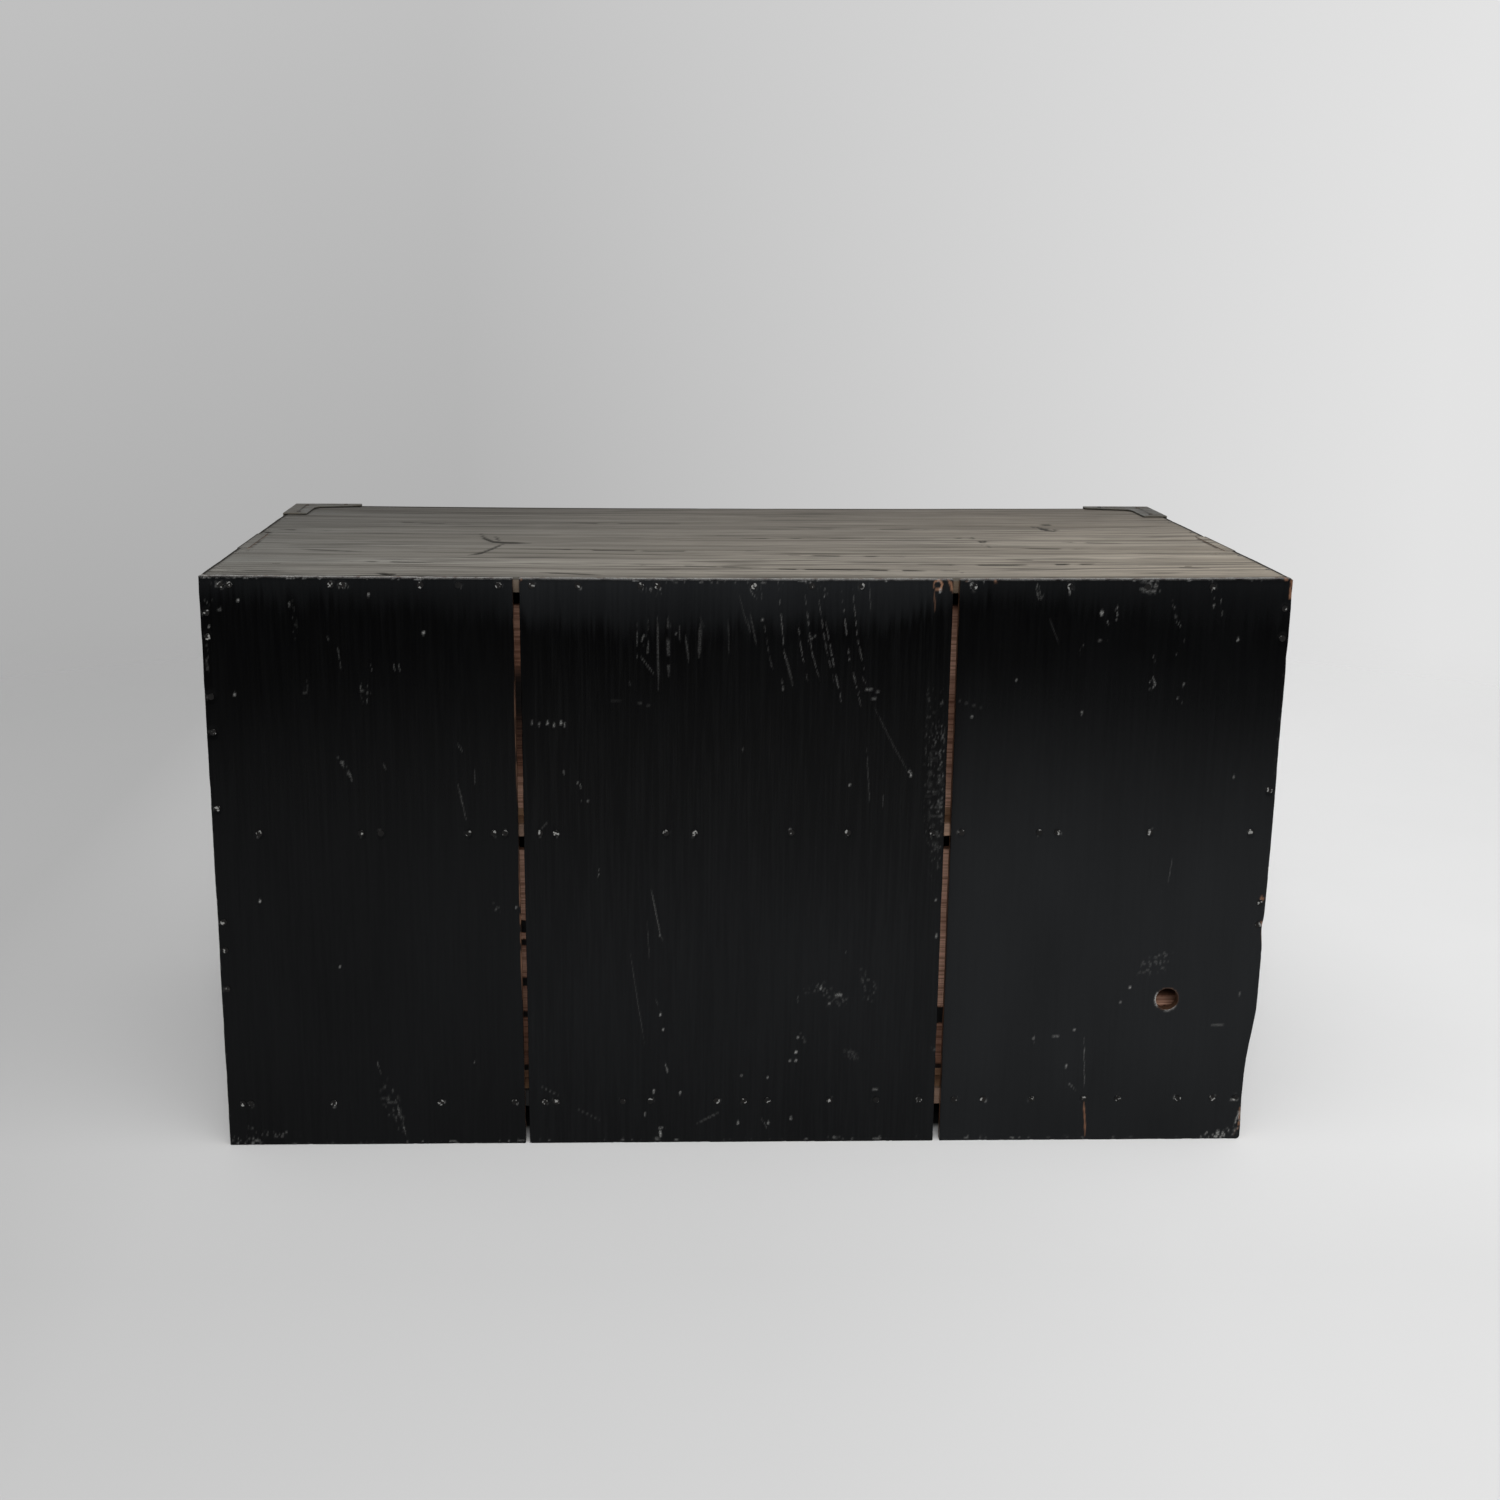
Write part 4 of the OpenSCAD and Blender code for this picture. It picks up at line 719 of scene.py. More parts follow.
# Scuffed grey corners and rubbed places
BACK_SCUFFS = [
    ([(-432, 10), (-428, 3), (-404, 1)], 7.0, 0.3, 1.8, 0.26),
    ([(392, 3), (410, 4), (424, 8)], 5.0, 0.6, 1.7, 0.48),
    ([(422, 6), (425, 28)], 3.0, 0.55, 1.7, 0.5),
    ([(-400, 1), (-218, 2), (-37, 3), (143, 3), (390, 2)], 2.2, 0.26, 2.6, 0.12),
    ([(307, 483), (321, 482), (323, 475), (309, 475)], 4.0, 0.3, 2.0, 0.5),
    ([(-97, 482), (63, 481)], 3.0, 0.25, 2.0, 0.1),
    ([(-432, 483), (-198, 483)], 2.0, 0.3, 2.4, 0.2),
    ([(182, 483), (424, 484)], 2.0, 0.3, 2.4, 0.16),
    ([(-432, 470), (-432, 250), (-431, 20)], 1.4, 0.12, 2.4, 0.2),
    ([(431, 460), (431, 251)], 1.2, 0.15, 2.4, 0.2),
]


def back_marks(values, points):
    across = -points[:, 0] * MM_PER_M
    height = points[:, 2] * MM_PER_M
    for key, marks in (("pale", BACK_SCRATCHES), ("bare", BACK_BARE), ("pale", BACK_SCUFFS)):
        for seed, (corners, width, strength, *flecks) in enumerate(marks):
            stroke(values, key, across, height, corners, width, strength, *flecks, seed=seed)
    for dot_across, dot_height, radius, strength in BACK_DOTS:
        near = (np.abs(across - dot_across) < 3) & (np.abs(height - dot_height) < 3)
        away = np.hypot(across[near] - dot_across, 0.75 * (height[near] - dot_height))
        raise_to(values, "pale", strength * (1 - step_up(away, 0.6 * radius, 1.5 * radius)), near)


NAIL_HEAD_W = 0.0056


# Centres of the nail heads in the back, read from the nails' own solid
def nail_places():
    points = np.array([v.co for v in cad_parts["back_nails"].data.vertices], float)
    heads = points[points[:, 1] > BACK_Y - 0.0001]
    places = []
    while len(heads):
        near = np.hypot(heads[:, 0] - heads[0, 0], heads[:, 2] - heads[0, 2]) < NAIL_HEAD_W
        places.append(heads[near].mean(0))
        heads = heads[~near]
    return places


NAILS = nail_places()
# The outer boards' widths and the gaps at the foot of the back. Each grows or shrinks a little up to the top
LEFT_BOARD_W = 0.264
RIGHT_BOARD_W = 0.249
LEFT_GAP_W = 0.0055
RIGHT_GAP_W = 0.003


# Low edge and high edge of each back board along X, at a height
def back_edges(z):
    share = z / TOP_Z
    left_in = -HALF_W + LEFT_BOARD_W + 0.002 * share
    right_in = HALF_W - RIGHT_BOARD_W + 0.004 * share
    middle = (left_in + LEFT_GAP_W - 0.0005 * share, right_in - RIGHT_GAP_W - 0.002 * share)
    return [(-HALF_W + 0 * z, left_in), middle, (right_in, HALF_W + 0 * z)]


HOLE_X = -HALF_W + 0.077
HOLE_Z = 0.128
HOLE_R = 0.0095
RING_STEPS = 96
# The left board's lower and upper corners are rounded, seen from behind
FOOT_CORNER_R = 0.0042
TOP_CORNER_R = 0.0018
# A drawn board is a little thinner than its solid
BOARD_DRAWN_T = 0.0078
# Profiles of the painted reflection across the back, at places in millimetres as in the marks: height of
# the sheen's lower edge, its strength and how fast it grows upwards, and strength and upper edge, in metres,
# of the painted reflection of the floor on the lower part
SHEEN_EDGE = ((-432, 468), (-354, 460), (-276, 460), (-198, 446), (-118, 440), (-39, 436), (40, 444),
              (120, 446), (166, 462), (202, 466), (279, 456), (361, 444), (432, 446))
SHEEN_STRENGTH = ((-432, 0.26), (-300, 0.29), (-190, 0.40), (-175, 0.60), (130, 0.60), (160, 0.42),
                  (175, 0.28), (432, 0.26))
SHEEN_CURVE = ((-432, 3.5), (-220, 3.5), (-180, 1.5), (140, 1.5), (175, 3.5), (432, 3.5))
LOW_SHEEN_STRENGTH = ((-432, 0.16), (-190, 0.20), (-180, 0.21), (160, 0.28), (172, 0.52), (260, 0.57), (432, 0.52))
LOW_SHEEN_EDGE = ((-190, 0.415), (-180, 0.375), (160, 0.375), (175, 0.435))
# Where the painted sheen begins to grow and over what height, and how far below its edge the painted
# reflection of the floor fades in
SHEEN_FROM_Z = 0.420
SHEEN_RISE = 0.064
LOW_SHEEN_FADE = 0.22


# How far a nail's marks reach, radius and width of the painted glint on its rim, and radius, width and
# depth of its dimple
NAIL_REACH = 0.009
RIM_R = 0.0031
RIM_W = 0.0007
DIMPLE_R = 0.0024
DIMPLE_W = 0.0014
DIMPLE_DEPTH = 0.00035
# The nails nearer than this to the side faces have fainter painted glints
SIDE_NAILS_W = 0.014
# Large factors, so that each nail's painted glint lies on another side of its rim and has another strength
LEAN_FACTOR = 1000
SHARE_FACTOR = 7919


# Dimples round the nails' heads, and a painted glint on one side of each rim
def nail_marks(values, sink, place, outer, seed):
    x = place[:, 0]
    z = place[:, 2]
    fleck = noise(place, (0.0011, 1, 0.0011), seed)
    for nail in NAILS:
        away = np.hypot(x - nail[0], z - nail[2])
        near = away < NAIL_REACH
        if not near.any():
            continue
        turn = np.arctan2(z[near] - nail[2], x[near] - nail[0])
        lean = np.cos(turn - LEAN_FACTOR * nail[0])
        rim = np.exp(-((away[near] - RIM_R) / RIM_W) ** 2)
        sink[near] += DIMPLE_DEPTH * np.exp(-((away[near] - DIMPLE_R) / DIMPLE_W) ** 2) * outer[near]
        glint_strength = 0.12 + 0.5 * step_up(math.sin(SHARE_FACTOR * nail[0]), 0.1, 0.9)
        if abs(nail[0]) > HALF_W - SIDE_NAILS_W:
            glint_strength *= 0.3
        # Painted glint: the rim is painted pale on one side only, in flecks
        painted_glint = glint_strength * rim * step_up(lean, 0.84, 1.0) * step_up(fleck[near], -0.4, 0.2)
        raise_to(values, "pale", painted_glint * outer[near], near)


# Painted reflection on the back's lacquer: a bluish sheen on the upper part with a wavy lower edge, and a
# painted reflection of the pale floor on the lower part, fainter near the foot, where the floor is in shade
def painted_back_sheen(place, hollows, seed):
    across = -place[:, 0] * MM_PER_M
    z = place[:, 2]
    edge = profile(across, SHEEN_EDGE) + 5 * layered_noise(place, (0.02, 1, 1), seed, 2)
    streak = 12 * noise(place, (0.0022, 1, 1), seed + 2)
    sheen_zone = step_up(z * MM_PER_M, edge - 8 + streak, edge + 14 + streak)
    rise = np.clip((z - SHEEN_FROM_Z) / SHEEN_RISE, 0, 1) ** profile(across, SHEEN_CURVE)
    sheen = sheen_zone * (0.06 + profile(across, SHEEN_STRENGTH) * rise) * (1 + 0.25 * hollows)
    sheen *= 1 - 0.45 * step_up(z, 0.478, 0.4835)
    # Painted reflection of the floor, fainter near the foot
    dull_and_low_sheen = profile(across, LOW_SHEEN_STRENGTH) * step_up(profile(across, LOW_SHEEN_EDGE) - z, 0, LOW_SHEEN_FADE)
    dull_and_low_sheen = dull_and_low_sheen * (1 - 0.25 * step_up(-z, -0.10, -0.01))
    return np.clip(sheen + dull_and_low_sheen * (1 + 0.3 * hollows), 0, 1)


# One board of the back: worn arrises, chips, dimples round its nails, scratches, and the wane of the left
# board
def back_board(name, index, seed):
    is_left = index == 0
    low_edge, high_edge = back_edges(np.array([TOP_Z / 2]))[index]
    width = float(high_edge[0] - low_edge[0])
    xs = lines(0, width, 0.0008, 0.003)
    ys = BACK_IN_Y + np.array([0, 0.002, 0.004, 0.0055, 0.0068, 0.0074, BOARD_DRAWN_T])
    flat, quads = lattice(xs, ys, lines(0, TOP_Z, 0.0019))
    sample = flat + (3 * index, 0, 0)
    from_gap = np.minimum(1.0 if is_left else flat[:, 0], width - flat[:, 0] if index < 2 else 1.0)
    at_top = step_up(flat[:, 2], TOP_Z - 0.012, TOP_Z - 0.004) * step_up(from_gap, 0.002, 0.008)
    chip = step_up(layered_noise(sample, (0.006, 0.05, 0.012), seed), 0.16, 0.5)
    worn = 0.0006 + 0.0005 * noise(sample, 0.03, seed + 1)
    radius = np.clip(worn + chip * (0.0007 + 0.0016 * at_top), 0.0003, 0.0034)
    points = rounded(flat, (0, BACK_IN_Y, 0), (width, BACK_IN_Y + BOARD_DRAWN_T, TOP_Z), radius)
    # The board's place between its own edges, which are a little ragged
    ragged = layered_noise(sample * (0, 0, 1), (1, 1, 0.03), seed + 5)
    edges = back_edges(points[:, 2])[index]
    x = edges[0] + points[:, 0] / width * (edges[1] - edges[0])
    at_low = np.exp(-(points[:, 0] / 0.003) ** 2)
    at_high = np.exp(-((width - points[:, 0]) / 0.003) ** 2)
    x = x + 0.0004 * (np.abs(ragged) * at_low - np.abs(ragged[::-1]) * at_high)
    if is_left:
        notch = 0.0015 * np.exp(-((points[:, 2] - 0.190) / 0.010) ** 2) * at_low
        x = np.maximum(x + notch, -HALF_W + wane(points[:, 1], points[:, 2]) * (1 + 0.1 * ragged))
    z = points[:, 2] - (TOP_Z - top_z(x)) * (points[:, 2] / TOP_Z) ** 2
    if is_left:
        low_part = np.clip(FOOT_CORNER_R - z, 0, FOOT_CORNER_R)
        x = np.maximum(x, -HALF_W + wane(points[:, 1], np.maximum(z, 0.004)) + FOOT_CORNER_R
                       - np.sqrt(np.maximum(FOOT_CORNER_R ** 2 - low_part ** 2, 0)))
        high_part = np.clip(z - TOP_Z + 0.0024, 0, TOP_CORNER_R)
        x = np.maximum(x, -HALF_W + TOP_CORNER_R - np.sqrt(np.maximum(TOP_CORNER_R ** 2 - high_part ** 2, 0)))
    outer = step_up(points[:, 1], BACK_Y - 0.0030, BACK_Y - 0.0006)
    place = np.stack([x, points[:, 1], z], 1)
    flutes = layered_noise(place, (0.0035, 1, 0.30), seed + 9)
    hollows = layered_noise(place, (0.05, 1, 0.16), seed + 11, 2)
    sink = outer * (0.00006 * (1 + flutes) + 0.00012 * (1 + hollows))
    values = {"pale": np.zeros(len(place)), "bare": np.zeros(len(place)),
              "brushed": np.full(len(place), 1.0 if index == 1 else 0.45),
              "inner": 1 - step_up(points[:, 1], BACK_IN_Y + 0.0015, BACK_IN_Y + 0.003)}
    nail_marks(values, sink, place, outer, seed + 13)
    back_marks(values, place)
    sink += 0.00035 * values["bare"] * outer + 0.00010 * values["pale"] * outer
    place[:, 1] -= sink
    # End grain and chipped arrises are bare and dusty
    end_grain = step_up(points[:, 2], TOP_Z - 0.0012, TOP_Z - 0.0004) * (1 - 0.85 * outer)
    dusty = step_up(noise(place, (0.004, 0.004, 0.01), seed + 21), -0.75, 0.1)
    rim = step_up(radius, 0.0016, 0.0024) * (np.abs(points - flat).sum(1) > 0.0001)
    raise_to(values, "pale", 1.4 * end_grain * dusty)
    raise_to(values, "pale", 0.22 * rim * at_top)
    raise_to(values, "bare", np.maximum(0.15 * end_grain, 0.5 * rim * (1 - at_top)))
    edge_face = (1 - outer) * (1 - end_grain) * 0.75
    raise_to(values, "bare", edge_face * step_up(noise(place, (1, 0.003, 0.03), seed + 23), -0.9, 0.4))
    # Painted reflection on the outer face: the bluish sheen high up and the floor's reflection low down
    values["bloom_and_sheen"] = outer * painted_back_sheen(place, hollows, seed + 31)
    if is_left:
        place, quads, values = with_hole(place, quads, values, outer)
    return add_mesh(name, place, quads, "case", back_lacquer, values)


# Opens the cable hole in the left back board: the mesh round it is drawn onto its rim, and a wall joins
# both faces. Pale arcs round the rim are fresh wood with a painted highlight where the rim catches the light
def with_hole(place, quads, values, outer):
    dx = place[:, 0] - HOLE_X
    dz = place[:, 2] - HOLE_Z
    away = np.hypot(dx, dz)
    inside = away < HOLE_R
    quads = quads[~inside[quads].all(1)]
    used = np.zeros(len(place), bool)
    used[quads.ravel()] = True
    rim = inside & used
    turn = np.arctan2(dz, dx)
    grow = HOLE_R / np.maximum(away, 1e-6)
    place = place.copy()
    place[rim, 0] = HOLE_X + dx[rim] * grow[rim]
    place[rim, 2] = HOLE_Z + dz[rim] * grow[rim]
    # Painted highlight over fresh wood: pale arcs on two sides of the rim
    lit = np.maximum(step_up(np.cos(turn + 0.05), 0.74, 0.9), 0.7 * step_up(np.cos(turn + 1.95), 0.80, 0.95))
    raise_to(values, "pale", lit * step_up(-away, -0.0112, -0.0098) * outer)
    raise_to(values, "bare", 0.25 * step_up(-away, -0.0101, -0.0096))
    angle = np.linspace(0, 2 * math.pi, RING_STEPS, endpoint=False)
    rings = []
    for y, radius in ((BACK_Y - 0.0004, HOLE_R), (BACK_Y - 0.002, HOLE_R - 0.0001), (BACK_IN_Y, HOLE_R)):
        ring = (HOLE_X + radius * np.cos(angle), np.full(RING_STEPS, y), HOLE_Z + radius * np.sin(angle))
        rings.append(np.stack(ring, 1))
    wall = []
    for start in (len(place), len(place) + RING_STEPS):
        for n in range(RING_STEPS):
            here = start + n
            over = start + (n + 1) % RING_STEPS
            wall.append((here, here + RING_STEPS, over + RING_STEPS, over))
    for key in values:
        on_wall = np.full(len(rings) * RING_STEPS, {"bare": 0.3, "brushed": 1.0}.get(key, 0.0))
        values[key] = np.concatenate([values[key], on_wall])
    return np.concatenate([place] + rings), np.concatenate([quads, np.array(wall)]), values


for index, name in enumerate(("back_left_board", "back_middle_board", "back_right_board")):
    board = back_board(name, index, 50 + 100 * index)
    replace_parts(board, ("back_board_left", "back_board_middle", "back_board_right")[index])


# Marks of the top in millimetres: corners (how far to the right of the middle as seen from behind, distance
# from the back), width, strength, and the size of the flecks of a broken one
TOP_CRACKS = [
    ([(-232, 258), (-226, 226), (-217, 205), (-206, 200), (-184, 198)], 2.0, 0.66),
    ([(-206, 200), (-214, 165), (-222, 138), (-232, 126)], 1.9, 0.60),
    ([(-217, 240), (-212, 210)], 1.6, 0.5, 4.0),
    ([(-428, 255), (-416, 249)], 1.6, 0.6, 11.0),
    ([(-296, 24), (-289, 20), (-280, 14)], 2.0, 0.8),
    ([(-420, 276), (-359, 264)], 1.3, 0.5, 11.0),
    ([(4, 236), (117, 238)], 1.3, 0.5, 11.0),
    ([(217, 244), (219, 211), (221, 180)], 4.0, 0.6, 4.0),
    ([(200, 237), (218, 237)], 1.6, 0.5, 11.0),
    ([(221, 218), (229, 218)], 2.4, 0.6, 4.0),
    ([(286, 314), (295, 293), (306, 286)], 4.0, 0.6, 4.0),
    ([(297, 329), (309, 329)], 2.4, 0.5, 4.0),
    ([(144, 80), (307, 82)], 1.4, 0.7, 11.0),
    ([(-5, 61), (172, 48), (174, 37)], 1.3, 0.6, 11.0),
    ([(223, 109), (272, 98)], 1.3, 0.4, 11.0),
    ([(-163, 339), (-29, 335)], 1.2, 0.4, 11.0),
    ([(-191, 165), (-78, 155), (17, 157)], 1.2, 0.5, 11.0),
    ([(-87, 76), (12, 66)], 1.2, 0.45, 11.0),
    ([(-167, 32), (-119, 22)], 1.3, 0.5, 11.0),
    ([(-378, 149), (-325, 139)], 1.3, 0.45, 11.0),
    ([(-418, 33), (-357, 29)], 1.2, 0.4, 11.0),
    ([(-325, 88), (-252, 83)], 1.2, 0.45, 11.0),
    ([(64, 302), (186, 297)], 1.2, 0.45, 11.0),
    ([(42, 134), (139, 124)], 1.3, 0.5, 11.0),
    ([(239, 174), (308, 169)], 1.3, 0.45, 11.0),
    ([(327, 72), (381, 57)], 1.2, 0.4, 11.0),
    ([(-334, 335), (-247, 322)], 1.2, 0.4, 11.0),
    ([(291, 213), (352, 201)], 1.2, 0.4, 11.0),
    ([(-86, 257), (0, 252)], 1.2, 0.4, 11.0),
]
# Nail holes and small knots of the top: place and radius
TOP_HOLES = [(411, 138, 2.0), (367, 69, 2.0), (-384, 72, 2.0), (-420, 140, 1.8), (-286, 19, 4.0)]
# Mortise in the underside of the top, into which the upper lock's bolt rises
MORTISE_HALF_W = 0.012
MORTISE_FRONT_Y = -0.19775
MORTISE_REAR_Y = -0.19275
MORTISE_DEPTH = 0.005
# Outer and inner end of the joint round a side board's finger, in millimetres from the middle
JOINT_OUT = 431
JOINT_IN = 421.6
# Width of the mortise's walls as drawn
SLIT = 0.0001
# How much a distance in depth counts in a crack's width, so that a crack along X is drawn wider than one
# along Y
CRACK_SQUEEZE = 0.3


# The dark marks of the top's upper face, which sink it further
def top_marks(values, sunk, points, across, depth, on_top):
    for seed, (corners, width, strength, *fleck) in enumerate(TOP_CRACKS):
        wander = 2.5 * noise(points, (0.04, 1, 1), 320 + seed)
        squeezed = [(corner_x, CRACK_SQUEEZE * corner_d) for corner_x, corner_d in corners]
        stroke(values, "dark", across, CRACK_SQUEEZE * (depth + wander), squeezed, width,
               min(1.0, 1.5 * strength), *fleck, cover=0.75, seed=seed)
    for hole_across, hole_depth, radius in TOP_HOLES:
        away = np.hypot(across - hole_across, depth - hole_depth)
        raise_to(values, "dark", step_up(-away, -radius * 1.5, -radius))
        sunk = sunk + 0.0012 * step_up(-away, -radius * 1.4, -radius * 0.7) * on_top
    values["dark"] *= on_top
    return sunk + 0.0004 * values["dark"]


# The top board, which ends at the back boards. It sags, and its underside has the mortise of the upper lock
def top_piece():
    mortise_xs = [-MORTISE_HALF_W - SLIT, -MORTISE_HALF_W, MORTISE_HALF_W, MORTISE_HALF_W + SLIT]
    mortise_ys = [MORTISE_FRONT_Y - SLIT, MORTISE_FRONT_Y, MORTISE_REAR_Y, MORTISE_REAR_Y + SLIT]
    xs = np.unique(np.concatenate([lines(-HALF_W, HALF_W, 0.0024), mortise_xs]))
    ys = np.unique(np.concatenate([lines(FRONT_Y, BACK_IN_Y, 0.0016, 0.003), mortise_ys]))
    zs = np.array([UNDER_TOP_Z, 0.474, 0.479, 0.4815, 0.4828, 0.4836, TOP_Z])
    flat, quads = lattice(xs, ys, zs)
    chip = step_up(layered_noise(flat, (0.02, 0.01, 0.05), 301), 0.2, 0.55)
    radius = np.clip(0.0009 + 0.0005 * noise(flat, 0.05, 302) + 0.0012 * chip, 0.0005, 0.0032)
    corner = np.hypot(flat[:, 0] + HALF_W, flat[:, 1] - BACK_IN_Y) < 0.02
    radius = np.where(corner, 0.0014, radius)
    points = rounded(flat, (-HALF_W, FRONT_Y, UNDER_TOP_Z), (HALF_W, BACK_IN_Y, TOP_Z), radius)
    x, y, z = points.T
    plane = layered_noise(points, (0.5, 0.035, 1), 303)
    ridges = layered_noise(points, (0.3, 0.006, 1), 305, 2)
    sunk = (TOP_Z - top_z(x)) + 0.00035 * (1 + plane) + 0.00008 * (1 + ridges)
    values = {"dark": np.zeros(len(x)), "bare": np.zeros(len(x)), "pale": np.zeros(len(x))}
    across = -x * MM_PER_M
    depth = (BACK_Y - y) * MM_PER_M
    on_top = step_up(z, TOP_Z - 0.003, TOP_Z - 0.001)
    sunk = top_marks(values, sunk, points, across, depth, on_top)
    # The joint round the side boards' fingers
    rear = (BACK_Y - FINGER_REAR_Y) * MM_PER_M
    front = (BACK_Y - FINGER_FRONT_Y) * MM_PER_M
    for side in (-1, 1):
        joint = [(side * JOINT_OUT, rear), (side * JOINT_IN, rear), (side * JOINT_IN, front),
                 (side * JOINT_OUT, front)]
        stroke(values, "dark", across, depth, joint, 1.5, 0.85, 6.0, 0.8, 71)
    # Bare brown wood at the left rear corner, chips along the rear arris, lacquer left on the far arris
    stroke(values, "bare", across, depth, [(420, 9), (431, 9)], 2.5, 0.6, 3.0, 0.5, 61)
    stroke(values, "pale", across, depth, [(306, 8), (324, 8)], 6, 0.25, 3.0, 0.5, 62)
    sides_dark = step_up(np.abs(across), 427.5, 429.5)
    front_dark = 0.9 * step_up(depth, 446, 450)
    rear_dark = (0.62 + 0.25 * noise(points, (0.02, 1, 1), 331)) * step_up(-depth, -16.0, -13.5)
    values["dark"] = np.clip(np.maximum.reduce([values["dark"], sides_dark, front_dark, rear_dark]), 0, 1)
    # The rear edge of the top is bare: it shows in the gaps between the back boards
    raise_to(values, "bare", 0.25 * step_up(y, BACK_IN_Y - 0.0010, BACK_IN_Y - 0.0001) * (1 - on_top))
    upper = step_up(z, UNDER_TOP_Z + 0.002, TOP_Z - 0.002)
    lift = np.where(z > UNDER_TOP_Z + 0.0005, upper * sunk, 0)
    in_mortise = (np.abs(x) < MORTISE_HALF_W + 0.5 * SLIT) & (z < UNDER_TOP_Z + SLIT)
    in_mortise &= (y > MORTISE_FRONT_Y - 0.5 * SLIT) & (y < MORTISE_REAR_Y + 0.5 * SLIT)
    place = np.stack([x, y, z - lift], 1)
    place[:, 2] += np.where(in_mortise, MORTISE_DEPTH, 0)
    return add_mesh("top_plank", place, quads, "case", worn_top, values)


top = top_piece()
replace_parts(top, "top_board")


# Middle and radius of the arc that a carrying handle rubs into the side, and the width of every rubbed arc
CARRY_RUB_Y = 0.0075
CARRY_RUB_Z = 0.288
CARRY_RUB_R = 0.045
RUB_W = 0.012


# A side board with its finger through the top, and the wane at the foot of the left one
def side_piece(name, side, seed):
    is_left = side < 0
    inner_x = HALF_W - SIDE_T
    xs = np.array([0, 0.0004, 0.001, 0.002, 0.005, 0.008, 0.0092, 0.0097, SIDE_T]) + HALF_W - SIDE_T
    flat, quads = lattice(xs, lines(FRONT_Y, BACK_IN_Y, 0.0036, 0.003), lines(0, UNDER_TOP_Z, 0.0036, 0.003))
    chip = step_up(layered_noise(flat, (0.05, 0.015, 0.015), seed), 0.2, 0.55)
    at_top = step_up(flat[:, 2], UNDER_TOP_Z - 0.003, UNDER_TOP_Z)
    at_back = step_up(flat[:, 1], BACK_IN_Y - 0.003, BACK_IN_Y)
    radius = np.clip((0.0008 + 0.0012 * chip) * (1 - at_top) * (1 - at_back) + 0.0002, 0.0002, 0.003)
    points = rounded(flat, (inner_x, FRONT_Y, 0), (HALF_W, BACK_IN_Y, UNDER_TOP_Z), radius)
    finger_start = len(quads)
    finger, finger_quads = lattice(xs, lines(FINGER_FRONT_Y + 0.0002, FINGER_REAR_Y - 0.0002, 0.004, 0.002),
                                   np.array([UNDER_TOP_Z - 0.001, 0.476, 0.482, 0.4834, 0.4839]))
    quads = np.concatenate([quads, finger_quads + len(points)])
    points = np.concatenate([points, finger])
    flat = np.concatenate([flat, finger])
    radius = np.concatenate([radius, np.full(len(finger), 0.0002)])
    x, y, z = points.T
    outer = step_up(x, HALF_W - 0.004, HALF_W - 0.001)
    plane = layered_noise(points, (1, 0.05, 0.2), seed + 3)
    placed_x = side * (x - 0.0002 * (1 + plane) * outer)
    if is_left:
        placed_x = np.maximum(placed_x, -HALF_W + wane(y, z))
    place = np.stack([placed_x, y, z], 1)
    moved = np.abs(points - flat).sum(1) > 0.0002
    rim = step_up(radius, 0.0012, 0.0020) * moved * (z < UNDER_TOP_Z - 0.002)
    scuff = step_up(layered_noise(place, (1, 0.012, 0.004), seed + 7), 0.34, 0.6)
    # Where the carrying handle rubs
    rub = np.exp(-((np.hypot(y - CARRY_RUB_Y, z - CARRY_RUB_Z) - CARRY_RUB_R) / RUB_W) ** 2)
    on_finger = z > UNDER_TOP_Z + 0.0005
    finger_rim = np.maximum(step_up(x, 0.4295, 0.4315), step_up(-x, -0.4232, -0.4222))
    waned = np.zeros(len(place))
    if is_left:
        waned = step_up(wane(y, z), 0.0008, 0.003) * step_up(x, HALF_W - 0.006, HALF_W)
        waned *= step_up(y + 0.006 * plane, BACK_IN_Y - 0.020, BACK_IN_Y - 0.002)
    pale = 0.09 * scuff * outer + 0.15 * rub * outer * step_up(scuff, 0, 1)
    inner = 1 - step_up(x, inner_x + 0.0005, inner_x + 0.002)
    values = {"bare": np.clip(0.8 * rim + 0.35 * waned, 0, 1) * ~on_finger,
              "pale": np.clip(pale, 0, 1) * ~on_finger,
              "dark": 0.85 * finger_rim * on_finger, "bloom_and_sheen": 0.35 * outer * (1 + plane),
              "brushed": np.ones(len(place)), "inner": inner * step_up(y, FRONT_Y + 0.0005, FRONT_Y + 0.002)}
    if is_left:
        quads = quads[:, ::-1]
    plank = add_mesh(name, place, quads, "case", side_lacquer, values)
    # Only the finger's upper face is as worn as the top
    plank.data.materials.append(worn_top)
    for face in plank.data.polygons[finger_start:]:
        if face.normal.z > 0.5:
            face.material_index = 1
    return plank


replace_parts(side_piece("left_side_plank", -1, 601), "side_board_left")
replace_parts(side_piece("right_side_plank", 1, 701), "side_board_right")


FRONT_LAP = 0.009
KEYHOLE_R = 0.0042
KEYHOLE_SLOT_HALF_W = 0.0035
KEYHOLE_SLOT_LENGTH = 0.012
KEYHOLE_DEPTH = 0.008
BAIL_X = 0.22
# Middle of the arc that a drawer's bail rubs, below its pins, and its radius. It is this much wider than high
BAIL_RUB_DROP = 0.048
BAIL_RUB_R = 0.034
BAIL_RUB_FLATNESS = 1.6


